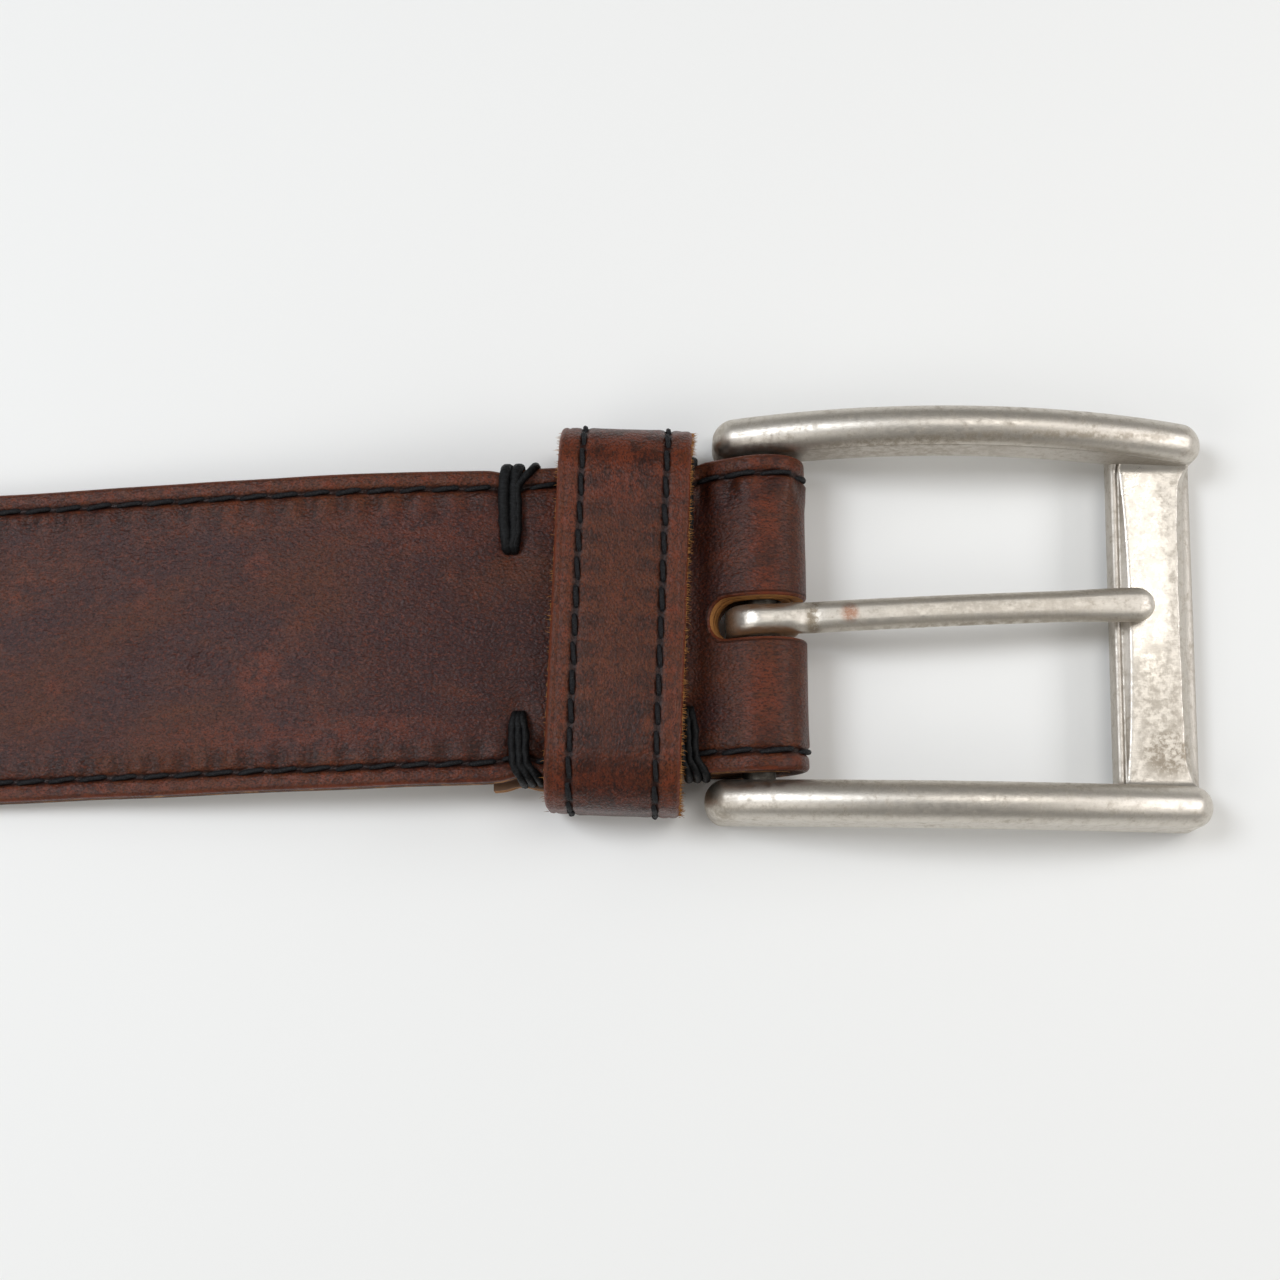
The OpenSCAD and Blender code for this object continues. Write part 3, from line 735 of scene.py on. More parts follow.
def tack_parts(shape, behind, inner, side, shift, strands):
    """Strands of waxed cord that come out of their hole, pass over the strap's edge and
    go back along the underside. A strand is: place beside the middle, half width, shift."""
    parts = []
    wax = 0.54
    top = shape.stack_level + shape.total / 2 + 0.22 + wax
    low = shape.return_height + wax - 0.02
    edge = shape.half + 0.5 - wax
    for number, (beside, half, more) in enumerate(strands):
        line = [
            (inner + 0.75, top - 3.2), (inner + 0.3, top - 1.6), (inner + 0.35, top - 0.55),
            (inner + 1.15, top - 0.06), (inner + 3.0, top), (edge - 2.4, top - 0.03),
            (edge - 0.75, top - 0.35), (edge - 0.06, top - 1.5), (edge, top - 3.4),
            (edge - 0.02, low + 2.2), (edge - 0.35, low + 0.7), (edge - 1.5, low + 0.03),
            (edge - 3.6, low), (inner + 1.6, low), (inner + 0.6, low + 0.4), (inner + 0.5, low + 1.7),
        ]
        line = through(line, 9)
        out = np.clip((line[:, 0] - inner) / (edge - inner), 0, 1)
        close = 0.55 + 0.45 * smooth(0.0, 0.3, out)
        under = smooth(top - 0.6, low + 1.0, line[:, 1])
        x = -behind + beside * close + (shift + more) * smooth(0.72, 1.02, out)
        x = x * (1 - under) + (-behind + beside * close + (shift + more) * out) * under
        x = x + 0.06 * wander(50 + number, 3.0, line[:, 0] + 20 * under)
        path = np.stack([x, side * line[:, 0], line[:, 1]], -1)
        parts.append(tube(path, half, wax, (1, 0, 0), 12, 3, 3.4, 0.07))
    return gathered(parts)


# ---------------------------------------------------------------- keeper shape


class KeeperShape:
    """Outline of the loop round the strap. Travel starts at the butt joint below."""

    top_radius = 7.4
    foot_radius = 4.3
    seam_inset = 3.0
    butt = 0.08
    edge_round = 0.65

    def __init__(self):
        cfg = settings().keeper
        self.width = cfg.width * METRE
        self.span = cfg.span * METRE
        self.height = cfg.height * METRE
        self.thickness = cfg.thickness * METRE
        self.behind = cfg.behind * METRE
        self.skew = cfg.skew
        self.pitch = settings().stitch.keeper_pitch * METRE
        half, high = self.span / 2, self.height
        rf, rt = self.foot_radius, self.top_radius
        foot, bend = np.radians(np.linspace(-90, 0, 40)), np.radians(np.linspace(0, 90, 60))
        y = np.concatenate([
            np.linspace(0, half - rf, 60)[:-1], half - rf + rf * np.cos(foot),
            half - rt + rt * np.cos(bend), np.linspace(half - rt, 0, 60)[1:],
        ])
        z = np.concatenate([
            np.zeros(59), rf + rf * np.sin(foot), high - rt + rt * np.sin(bend), np.full(59, high),
        ])
        y, z = np.concatenate([y, -y[-2::-1]]), np.concatenate([z, z[-2::-1]])
        keep = np.concatenate([[True], np.hypot(np.diff(y), np.diff(z)) > 1e-6])
        self.y, self.z = y[keep], z[keep]
        self.travel = np.concatenate([[0], np.cumsum(np.hypot(np.diff(self.y), np.diff(self.z)))])
        dy, dz = np.gradient(self.y, self.travel), np.gradient(self.z, self.travel)
        size = np.hypot(dy, dz)
        self.out_y, self.out_z = dz / size, -dy / size
        self.end = self.travel[-1]

    def place(self, travel, across, lift):
        y = np.interp(travel, self.travel, self.y) + np.interp(travel, self.travel, self.out_y) * lift
        z = np.interp(travel, self.travel, self.z) + np.interp(travel, self.travel, self.out_z) * lift
        points = turned(np.stack([across + 0 * y, y, z], -1), self.skew)
        points[..., 0] -= self.behind
        return points

    def edge_gap(self, travel, across):
        to_end = np.minimum(travel, self.end - travel) - self.butt
        return np.clip(np.minimum(self.width / 2 - np.abs(across), to_end), 0, None)

    def top(self, travel, across):
        gap = self.edge_gap(travel, across)
        seam = np.abs(across) - (self.width / 2 - self.seam_inset)
        near = np.clip(self.edge_round - gap, 0, self.edge_round)
        lift = np.sqrt(self.edge_round**2 - near**2) - self.edge_round
        lift -= 0.30 * hump(seam, 0, 0.5)
        wave = np.cos(2 * math.pi * (travel + 0.4 * across) / self.pitch)
        lift += 0.05 * wave * hump(np.abs(seam), 0.95, 0.75)
        lift -= 0.12 * hump(across, -self.width / 2 + 1.05, 0.16)
        lift -= 0.10 * hump(across, self.width / 2 - 1.3, 0.22) * (0.5 + 0.5 * wander(4, 9, travel))
        lift += 0.06 * wander(21, 10, travel, across) + 0.02 * wander(22, 3, travel, across)
        lift += 0.10 * (1 - (2 * across / self.width) ** 2) - 0.08
        y = np.interp(travel, self.travel, self.y)
        z = np.interp(travel, self.travel, self.z)
        under = (z < 1.0) * band(np.abs(y), 0.0, 4.3, 0.4) * hump(across, 0, 0.55)
        lift = np.where(z < 2.0, np.minimum(lift, 0.0), lift)
        return lift - 0.42 * under


# ---------------------------------------------------------------- buckle shapes


class BuckleShape:
    """Sizes of the cast frame, in millimetres about the heel bar before the skew."""

    heel = 6.3
    toe = 55.9
    flare = 0.3
    flank = 5.3
    crown = 2.0
    swing = 7.8
    bulge = 0.42

    def __init__(self):
        cfg = settings().buckle
        self.skew = cfg.skew
        self.window = cfg.window * METRE
        self.arm = cfg.arm_width * METRE
        bow = cfg.bow * METRE
        chord = self.heel + self.toe
        self.radius = (chord * chord / 4 + bow * bow) / (2 * bow)
        self.middle_x = (self.toe - self.heel) / 2
        self.middle_z = bow - self.radius

    def height(self, x, above):
        """Height of a surface that follows the bow at a distance above its underside."""
        return self.middle_z + np.sqrt((self.radius + above) ** 2 - (x - self.middle_x) ** 2)

    def bulge_at(self, x):
        """How far an arm bows out across the belt."""
        return self.bulge * (1 - ((x - self.middle_x) / 31.1) ** 2)

    def arm_rings(self, side):
        """Rings of one arm, from the middle of its underside, round its flanks to its crown."""
        half = self.arm / 2
        straight, cap = 150, 20
        far = 2 * straight + cap - 2
        self.arm_caps = [[k, k + 1, far - 1 - k, far - k] for k in range(straight - 1)]
        self.arm_caps += [list(range(straight - 1, straight + cap)), list(range(far, far + cap)) + [0]]
        x0, x1 = -self.heel + half - (0.5 if side < 0 else 0.0), self.toe - half - 0.15
        run = np.linspace(0, 1, straight)
        run = run - 0.12 * np.sin(2 * math.pi * run) / (2 * math.pi) * 2
        level, still = x0 + (x1 - x0) * run, np.zeros(straight)
        a = np.radians(90 - np.arange(1, cap) * 180 / cap)
        spine_x = np.concatenate([level, np.full(cap - 1, x1), level[::-1], np.full(cap - 1, x0)])
        way_x = np.concatenate([still, np.cos(a), still, -np.cos(a)])
        way_y = np.concatenate([still + 1, np.sin(a), still - 1, -np.sin(a)])
        mid_y = self.window + half
        outer = np.clip(way_y, 0, 1)
        rings = []

        def ring(size, above, lip=0.0):
            reach = size - lip * (way_y < -0.2)
            x = spine_x + way_x * reach
            y = mid_y + way_y * reach
            y = y + outer * self.flare * (1 - np.clip(above / self.flank, 0, 1)) * (size / half)
            y = y + self.bulge_at(x)
            z = self.height(x, above)
            floor = self.swing**2 - np.minimum(x, 0) ** 2
            heel = StrapShape.bar_height - np.sqrt(np.maximum(floor, 0))
            z = np.where(x < 0, np.maximum(z, heel + 0.02 * above), z)
            rings.append(np.stack([x, side * y, z], -1))

        for share in (0.02, 0.35, 0.7, 0.93):
            ring(half * share, 0.0)
        ring(half - 0.12, 0.03)
        ring(half, 0.16)
        for above in np.linspace(0.6, self.flank - 0.5, 7):
            ring(half, above)
        ring(half, self.flank - 0.34, 0.03)
        ring(half, self.flank - 0.18, 0.16)
        ring(half, self.flank - 0.10, 0.16)
        ring(half, self.flank, 0.02)
        top_radius = (half**2 + self.crown**2) / (2 * self.crown)
        drop = top_radius - self.crown
        for share in np.sin(np.radians(np.linspace(86, 1.5, 17))):
            size = half * share
            ring(size, self.flank + np.sqrt(top_radius**2 - size**2) - drop)
        return np.array(rings), way_y

    def front_profile(self, y):
        """Section of the front bar at y: wall, rolled ridge, groove, strip, face, scoop, nose."""
        t = min(1.0, abs(y) / self.window)
        lift = 0.42 * min(1.3, max(0.0, (abs(y) - (self.window - 0.75)) / 0.75)) ** 2
        strip = 46.55 - 0.85 * t**2.2
        worn = 0.035 * math.sin(0.9 * y + 0.4) + 0.02 * math.sin(2.3 * y)
        edge = 54.85 - (2.15 - 0.25 * t**2 - 1.35 * t**14) + worn
        rows = [
            (44.5, 2.0), (44.4, 2.15), (44.4, 3.2), (44.42, 4.05), (44.5, 4.38), (44.66, 4.6),
            (44.9, 4.7), (45.14, 4.66), (45.33, 4.48), (45.44, 4.22), (45.54, 4.1), (45.66, 4.12),
            (45.8, 4.24), (strip - 0.12, 4.74), (strip, 4.84), (strip + 0.14, 4.885),
            (strip + 0.4, 4.9),
        ]
        rows += [(strip + 0.4 + (edge - strip - 0.7) * share, 4.9) for share in (0.25, 0.5, 0.75)]
        rows += [(edge - 0.3, 4.9), (edge - 0.1, 4.885), (edge, 4.83), (edge + 0.1, 4.7)]
        nose_x, nose_z = 54.78, 3.3
        for share in (0.2, 0.4, 0.6, 0.8):
            x = edge + 0.1 + (nose_x - edge - 0.1) * share
            z = 4.7 + (nose_z - 4.7) * share
            rows.append((x, z - 0.16 * math.sin(math.pi * share)))
        rows += [(nose_x, nose_z), (54.87, 3.18), (54.9, 2.9), (54.9, 2.0), (54.9, 1.15), (54.78, 1.02)]
        rows += [(52.0, 1.28), (48.0, 1.66)]
        return np.array([(x, z + lift * (z > 3.9)) for x, z in rows])

    def front_rings(self):
        """Sections of the front bar, closer together at its ends."""
        reach = self.window + 1.2
        a = np.linspace(-1, 1, 91)
        stations = reach * (a * 0.72 + 0.28 * np.sin(a * math.pi / 2))
        rings = []
        for y in stations:
            rows = self.front_profile(float(y))[::-1]
            rings.append(np.stack([rows[:, 0], np.full(len(rows), y), rows[:, 1]], -1))
        return np.array(rings)


def tongue_rings():
    """Rings of the tongue from behind the bar to its tip: knuckle, waist and bowed shank."""
    cfg = settings().buckle
    half = cfg.tongue_width * METRE / 2
    reach = cfg.tongue_reach * METRE
    bar_z = StrapShape.bar_height
    knuckle, tip = 4.45, 2.4
    heel_height, tip_height, bow = 8.2, 6.5, 1.6
    shank_up, shank_down, edge_round = 1.42, 1.45, 1.42
    a = np.linspace(0, math.pi, 46)
    x = np.concatenate([
        -knuckle * np.cos(a[1:34]), np.linspace(3.3, 10, 34)[1:], np.linspace(10, reach - tip, 50)[1:],
        reach - tip + tip * np.sin(np.linspace(0, math.pi / 2 * 0.985, 16))[1:],
    ])
    x = np.unique(np.clip(x, -knuckle * 0.999, None).round(4))
    t = np.clip(x / reach, 0, 1)
    spine = heel_height + (tip_height - heel_height) * t + 4 * bow * t * (1 - t)
    round_top = bar_z + np.sqrt(np.maximum(knuckle**2 - x**2, 0))
    level = smooth(-4.4, -2.4, x) * (1 - smooth(3.6, 6.3, x))
    cap = bar_z + knuckle - 0.02 * x**2 / 4
    top = np.where(x < 0, round_top, cap * level + (1 - level) * (spine + shank_up))
    top = top - 0.20 * hump(x, 6.1, 0.9)
    round_low = bar_z - np.sqrt(np.maximum(knuckle**2 - x**2, 0))
    shank_low = spine - shank_down
    low = np.where(x > knuckle - 0.05, shank_low, np.minimum(round_low, shank_low))
    end = np.clip((x - (reach - tip)) / tip, 0, 1)
    point = np.maximum(np.sqrt(1 - end**2), 0.1)
    middle = (top + low) / 2
    rise = (top - low) / 2 * point**0.9
    width = half * (1 - 0.06 * hump(x, 2.2, 2.2)) + 0.2 * smooth(36, 46, x)
    back = np.clip((-x - knuckle + 1.5) / 1.5, 0, 1)
    width = width * point * (1 - 0.16 * back**2)
    sides = 36
    angle = (np.arange(sides) + 0.5) * 2 * math.pi / sides
    c, s = np.cos(angle), np.sin(angle)
    rings = []
    for k, high in enumerate(rise):
        corner = min(edge_round, high * 0.98, width[k] * 0.98)
        y = np.sign(c) * (width[k] - corner) + corner * c
        z = np.sign(s) * (high - corner) + corner * s
        z = z + 0.16 * (s > 0) * (1 - (y / width[k]) ** 2) * min(1.0, high)
        side = 0.15 + 0.75 * max(0.0, x[k] / reach) ** 1.2
        rings.append(np.stack([np.full(sides, x[k]), y - 0.9 + side, middle[k] + z], -1))
    return np.array(rings)


def rod(radius, sides, stations):
    """Round bar on the heel bar's axis, through these places across the belt."""
    angle = np.arange(sides) * 2 * math.pi / sides
    x, z = radius * np.cos(angle), StrapShape.bar_height + radius * np.sin(angle)
    return loft(np.array([np.stack([x, np.full(sides, y), z], -1) for y in stations]))


# ---------------------------------------------------------------- materials


class Recipe:
    """A material under construction: adds shader nodes and joins them."""

    def __init__(self, name):
        self.material = bpy.data.materials.new(name)
        self.material.use_nodes = True
        self.tree = self.material.node_tree
        self.tree.nodes.clear()
        self.out = self.tree.nodes.new("ShaderNodeOutputMaterial")
        self.shader = self.tree.nodes.new("ShaderNodeBsdfPrincipled")
        self.tree.links.new(self.shader.outputs[0], self.out.inputs["Surface"])

    def node(self, kind, **settings_):
        made = self.tree.nodes.new(kind)
        for key, value in settings_.items():
            setattr(made, key, value)
        return made

    def put(self, socket, value):
        if isinstance(value, bpy.types.NodeSocket):
            self.tree.links.new(value, socket)
        else:
            socket.default_value = value

    def finish(self, **sockets):
        for key, value in sockets.items():
            self.put(self.shader.inputs[key.replace("_", " ")], value)
        return self.material

    def field(self, name):
        return self.node("ShaderNodeAttribute", attribute_name=name).outputs["Vector"]

    def parts(self, vector):
        made = self.node("ShaderNodeSeparateXYZ")
        self.put(made.inputs[0], vector)
        return {"x": made.outputs[0], "y": made.outputs[1], "z": made.outputs[2]}

    def object_mm(self):
        """Place on the object in millimetres from the bar."""
        place = self.node("ShaderNodeTexCoord").outputs["Object"]
        made = self.node("ShaderNodeVectorMath", operation="MULTIPLY_ADD")
        self.put(made.inputs[0], place)
        made.inputs[1].default_value = (METRE, METRE, METRE)
        made.inputs[2].default_value = (-BAR.x * METRE, 0, 0)
        return made.outputs[0]

    def stretch(self, vector, scale, shift=(0, 0, 0), turn=0.0):
        made = self.node("ShaderNodeMapping")
        self.put(made.inputs["Vector"], vector)
        made.inputs["Scale"].default_value = scale
        made.inputs["Location"].default_value = shift
        made.inputs["Rotation"].default_value = (0, 0, turn)
        return made.outputs[0]

    def cloud(self, vector, scale, detail=3.0, rough=0.55, warp=0.0):
        made = self.node("ShaderNodeTexNoise")
        self.put(made.inputs["Vector"], vector)
        made.inputs["Scale"].default_value = scale
        made.inputs["Detail"].default_value = detail
        made.inputs["Roughness"].default_value = rough
        made.inputs["Distortion"].default_value = warp
        return made.outputs[0]

    def cells(self, vector, scale, feature="F1", spread=1.0):
        made = self.node("ShaderNodeTexVoronoi", feature=feature)
        self.put(made.inputs["Vector"], vector)
        made.inputs["Scale"].default_value = scale
        made.inputs["Randomness"].default_value = spread
        return made.outputs["Distance"]

    def math(self, operation, a, b=0.0, clamp=False):
        made = self.node("ShaderNodeMath", operation=operation, use_clamp=clamp)
        self.put(made.inputs[0], a)
        self.put(made.inputs[1], b)
        return made.outputs[0]

    def times(self, a, b, clamp=False):
        return self.math("MULTIPLY", a, b, clamp)

    def plus(self, a, b, clamp=False):
        return self.math("ADD", a, b, clamp)

    def remap(self, value, low, high, to_low=0.0, to_high=1.0):
        made = self.node("ShaderNodeMapRange", interpolation_type="SMOOTHSTEP")
        self.put(made.inputs["Value"], value)
        for key, number in (("From Min", low), ("From Max", high), ("To Min", to_low), ("To Max", to_high)):
            made.inputs[key].default_value = number
        return made.outputs[0]

    def mix(self, share, a, b, blend="MIX"):
        made = self.node("ShaderNodeMix", data_type="RGBA", blend_type=blend)
        self.put(made.inputs[0], share)
        self.put(made.inputs[6], a)
        self.put(made.inputs[7], b)
        return made.outputs[2]

    def stain(self, tone, other, value, low, high, most):
        """The other colour over a tone, up to most, as a value rises from low to high."""
        return self.mix(self.remap(value, low, high, 0.0, most), tone, other)

    def spot(self, vector, centre, size, soft=0.5):
        """1 near a centre, 0 beyond size, which is x, y and z half lengths."""
        made = self.node("ShaderNodeVectorMath", operation="MULTIPLY_ADD")
        self.put(made.inputs[0], vector)
        made.inputs[1].default_value = tuple(1 / s for s in size)
        made.inputs[2].default_value = tuple(-c / s for c, s in zip(centre, size))
        length = self.node("ShaderNodeVectorMath", operation="LENGTH")
        self.put(length.inputs[0], made.outputs[0])
        return self.remap(length.outputs["Value"], 1.0 - soft, 1.0 + soft, 1.0, 0.0)

    def bump(self, height, depth, strength=1.0, under=None):
        """Relief of depth millimetres."""
        made = self.node("ShaderNodeBump")
        made.inputs["Strength"].default_value = strength
        made.inputs["Distance"].default_value = depth / METRE
        self.put(made.inputs["Height"], height)
        if under is not None:
            self.put(made.inputs["Normal"], under)
        return made.outputs[0]


def grain_leather(name, kind, spots, seam, pitch):
    """Waxed full-grain leather that has been worn: fine pebbled grain, colour that varies
    from dark to warm, rubbed patches, scratches and a waxy gloss that breaks up. kind names
    its settings. A spot is a centre and half sizes in the plan, and an amount."""
    r = Recipe(name)
    dark, warm = colour_of(kind + "_dark"), colour_of(kind + "_brown")
    rubbed, grime = colour_of("strap_red"), colour_of("grime")
    plan = r.field("plan")
    xyz = r.parts(plan)
    wide = r.cloud(r.stretch(plan, (0.028, 0.05, 0.0)), 1.0, 4, 0.6, 0.6)
    patch = r.cloud(r.stretch(plan, (0.11, 0.16, 0.0), (7, 3, 0)), 1.0, 5, 0.62, 0.8)
    mottle = r.cloud(r.stretch(plan, (0.9, 0.9, 0.0)), 1.0, 4, 0.65)
    warmth = r.times(r.remap(wide, 0.40, 0.62), 0.75)
    warmth = r.plus(warmth, r.remap(patch, 0.46, 0.68, 0.0, 0.45))
    near_edge = r.remap(xyz["z"], 1.0, 7.5, 0.75, 0.0)
    warmth = r.plus(warmth, r.times(near_edge, r.remap(mottle, 0.3, 0.65, 0.35, 1.0)))
    warmth = r.times(warmth, r.remap(mottle, 0.25, 0.7, 0.55, 1.2), True)
    colour = r.mix(warmth, dark, warm)
    rub = r.times(r.remap(patch, 0.56, 0.72), r.remap(mottle, 0.38, 0.62))
    rub = r.times(rub, 0.55)
    for centre, size, amount in spots:
        blot = r.spot(plan, centre, size, 0.45)
        blot = r.times(blot, r.remap(r.cloud(plan, 0.42, 4, 0.6, 0.5), 0.38, 0.58))
        rub = r.math("MAXIMUM", rub, r.times(blot, amount))
    colour = r.mix(rub, colour, rubbed)
    beat = r.times(xyz["x"], 2 * math.pi / pitch)
    beat = r.remap(r.math("COSINE", beat), -0.6, 0.7, 0.15, 1.0)
    outside = r.times(r.remap(xyz["z"], 0.4, 0.9), r.remap(xyz["z"], seam - 0.9, seam - 0.4, 1, 0))
    outside = r.times(r.times(outside, beat), r.remap(mottle, 0.42, 0.60, 0.1, 0.75))
    colour = r.mix(outside, colour, rubbed)
    # Painted shade: the hollows between the puckers inside the seam are darkened in step with the stitches.
    pucker_shade_mask = r.times(r.remap(xyz["z"], seam + 0.3, seam + 0.9), r.remap(xyz["z"], seam + 2, seam + 4, 1, 0))
    pucker_shade_mask = r.times(pucker_shade_mask, r.math("SUBTRACT", 1.0, beat))
    colour = r.mix(r.times(pucker_shade_mask, 0.6), colour, colour_of("pucker_shade"))
    from_seam = r.math("ABSOLUTE", r.math("SUBTRACT", xyz["z"], seam))
    pores = r.cells(plan, 2.3, "SMOOTH_F1")
    fine = r.cloud(plan, 3.6, 3, 0.7)
    colour = r.stain(colour, rubbed, r.cloud(plan, 1.9, 3, 0.6), 0.48, 0.66, 0.45)
    colour = r.stain(colour, grime, fine, 0.46, 0.66, 0.75)
    colour = r.stain(colour, grime, pores, 0.45, 0.75, 0.35)
    # Painted shade: a band along the seam's groove is painted near black.
    colour = r.mix(r.remap(from_seam, 0.22, 0.62, 0.85, 0.0), colour, colour_of("groove"))
    light = r.cloud(r.stretch(plan, (1.3, 4.2, 0), (3, 9, 0), 0.5), 1.0, 3, 0.7)
    colour = r.stain(colour, colour_of("scuff"), light, 0.60, 0.75, 0.30)
    scratch = r.cloud(r.stretch(plan, (0.35, 7.0, 0), (2, 5, 0), 1.25), 1.0, 2, 0.5)
    scratch = r.remap(scratch, 0.695, 0.73)
    colour = r.mix(r.times(scratch, 0.45), colour, colour_of("scratch"))
    worn = r.times(r.remap(xyz["z"], 0.0, 0.55, 1.0, 0.0), r.remap(patch, 0.4, 0.6, 0.25, 0.9))
    colour = r.mix(worn, colour, rubbed)
    creases = r.cells(r.stretch(plan, (0.55, 0.8, 0), (1, 2, 0)), 1.0, "DISTANCE_TO_EDGE")
    height = r.times(pores, 0.75)
    height = r.plus(height, r.times(fine, 0.55))
    height = r.plus(height, r.remap(creases, 0.0, 0.12, 0.0, 0.16))
    height = r.plus(height, r.times(mottle, 0.5))
    height = r.math("SUBTRACT", height, r.times(scratch, 0.25))
    gloss = r.remap(wide, 0.35, 0.65, 0.30, 0.38)
    gloss = r.plus(gloss, r.remap(fine, 0.35, 0.7, -0.03, 0.10))
    return r.finish(
        Base_Color=colour, Roughness=gloss, Specular_IOR_Level=0.21, Normal=r.bump(height, 0.11, 1.0)
    )


def edge_leather(name, colour, rawness):
    """Cut edge of leather: packed fibres, waxed where dressed and pale where raw."""
    r = Recipe(name)
    raw = colour_of("raw")
    place = r.object_mm()
    fibre = r.cloud(r.stretch(place, (1.1, 1.1, 4.5)), 1.0, 5, 0.7)
    blot = r.cloud(place, 0.35, 4, 0.6)
    share = r.remap(blot, 0.62 - 0.5 * rawness, 0.80 - 0.5 * rawness)
    tone = r.mix(share, colour, raw)
    tone = r.stain(tone, colour_of("fibre"), fibre, 0.45, 0.68, 0.65)
    tone = r.stain(tone, raw, r.cloud(place, 2.6, 2, 0.5), 0.6, 0.75, 0.4)
    return r.finish(
        Base_Color=tone, Roughness=r.remap(fibre, 0.3, 0.7, 0.6, 0.85), Specular_IOR_Level=0.3,
        Normal=r.bump(fibre, 0.22, 0.9),
    )


def lining_leather(name, colour):
    """Smooth matt lining with faint grain, rub marks and darkened handling stains."""
    r = Recipe(name)
    plan = r.field("plan")
    wide = r.cloud(r.stretch(plan, (0.03, 0.09, 0)), 1.0, 5, 0.6, 0.4)
    pores = r.cells(plan, 2.4, "SMOOTH_F1")
    fine = r.cloud(plan, 4.5, 3, 0.7)
    dull = tuple(0.45 * c for c in colour[:3]) + (1,)
    tone = r.mix(r.remap(wide, 0.42, 0.68), colour, dull)
    tone = r.stain(tone, dull, fine, 0.5, 0.75, 0.4)
    tone = r.mix(r.remap(r.parts(plan)["z"], 0.2, 2.0, 0.5, 0.0), tone, dull)
    height = r.plus(r.times(pores, 0.7), r.times(fine, 0.5))
    return r.finish(
        Base_Color=tone, Roughness=r.remap(wide, 0.4, 0.6, 0.55, 0.7), Specular_IOR_Level=0.3,
        Normal=r.bump(height, 0.08, 0.8),
    )


def twisted(name, kind, rough, fuzz):
    """Plied thread or cord: darker between its plies, with stray pale fibres."""
    r = Recipe(name)
    colour, light = colour_of(kind), colour_of(kind + "_light")
    run = r.field("run")
    place = r.object_mm()
    strand = r.cloud(r.stretch(run, (5.5, 0.9, 0), (0, 0, 0), 0.35), 1.0, 3, 0.7)
    speck = r.cloud(place, 5.0, 3, 0.7)
    tone = r.stain(colour, light, strand, 0.42, 0.66, 0.8)
    tone = r.stain(tone, colour_of("lint"), speck, 0.60, 0.76, fuzz)
    height = r.plus(strand, r.times(speck, 0.5))
    return r.finish(
        Base_Color=tone, Roughness=r.remap(speck, 0.3, 0.7, rough - 0.1, rough + 0.12),
        Specular_IOR_Level=0.16, Normal=r.bump(height, 0.10, 0.8),
    )


def old_nickel(name, clean, tarnish, spots, polish):
    """Antique nickel: satin, mottled with tarnish, pitted, polished by wear. A spot is a kind,
    a centre and half sizes in millimetres from the bar, and an amount."""
    r = Recipe(name)
    clean, tarnish, rust = colour_of(clean), colour_of(tarnish), colour_of("rust")
    place = r.object_mm()
    broad = r.cloud(r.stretch(place, (0.09, 0.3, 0.3)), 1.0, 5, 0.65)
    patch = r.cloud(place, 0.9, 7, 0.74)
    grit = r.cloud(place, 3.2, 4, 0.7)
    fine = r.cloud(place, 9.0, 3, 0.7)
    brush = r.cloud(r.stretch(place, (0.7, 11.0, 11.0)), 1.0, 2, 0.6)
    dull = r.times(r.remap(patch, 0.46, 0.70), r.remap(broad, 0.35, 0.65, 0.35, 1.0))
    dull = r.plus(dull, r.remap(grit, 0.55, 0.78, 0.0, 0.45), True)
    dull = r.times(dull, 0.62)
    shine = None
    for kind, centre, size, amount in spots:
        spot = r.spot(place, centre, size, 0.3 if kind == "polish" else 0.5)
        if kind == "tarnish":
            spot = r.times(spot, r.remap(patch, 0.40, 0.58, 0.2, 1.0))
            dull = r.math("MAXIMUM", dull, r.times(spot, amount))
        elif kind == "polish":
            spot = r.times(spot, amount)
            dull = r.times(dull, r.math("SUBTRACT", 1.0, spot))
            shine = spot if shine is None else r.math("MAXIMUM", shine, spot)
    tone = r.mix(dull, clean, tarnish)
    for kind, centre, size, amount in spots:
        if kind == "rust":
            spot = r.times(r.spot(place, centre, size, 0.5), r.remap(grit, 0.3, 0.6, 0.4, 1.0))
            tone = r.mix(r.times(spot, amount), tone, rust)
    tone = r.stain(tone, colour_of("brushed"), brush, 0.45, 0.62, 0.12)
    gloss = r.plus(r.remap(patch, 0.3, 0.7, polish, polish + 0.12), r.times(dull, 0.20))
    gloss = r.plus(gloss, r.remap(grit, 0.4, 0.7, -0.02, 0.06))
    if shine is not None:
        gloss = r.math("SUBTRACT", gloss, r.times(shine, 0.10))
    height = r.plus(r.times(grit, 0.5), r.times(fine, 0.3))
    height = r.plus(height, r.times(patch, 0.8))
    height = r.plus(height, r.times(brush, 0.12))
    return r.finish(
        Base_Color=tone, Metallic=1.0, Roughness=gloss, Normal=r.bump(height, 0.045, 0.7)
    )


def table_top(name, colour):
    """Plain matt paint with a faint, broad unevenness."""
    r = Recipe(name)
    place = r.object_mm()
    wide = r.cloud(place, 0.02, 3, 0.5)
    tone = r.mix(r.remap(wide, 0.3, 0.7, 0.0, 0.10), colour, colour_of("floor_worn"))
    return r.finish(Base_Color=tone, Roughness=0.75, Specular_IOR_Level=0.2)


def colour_of(name):
    return tuple(getattr(settings().finish, name))


# ---------------------------------------------------------------- operators


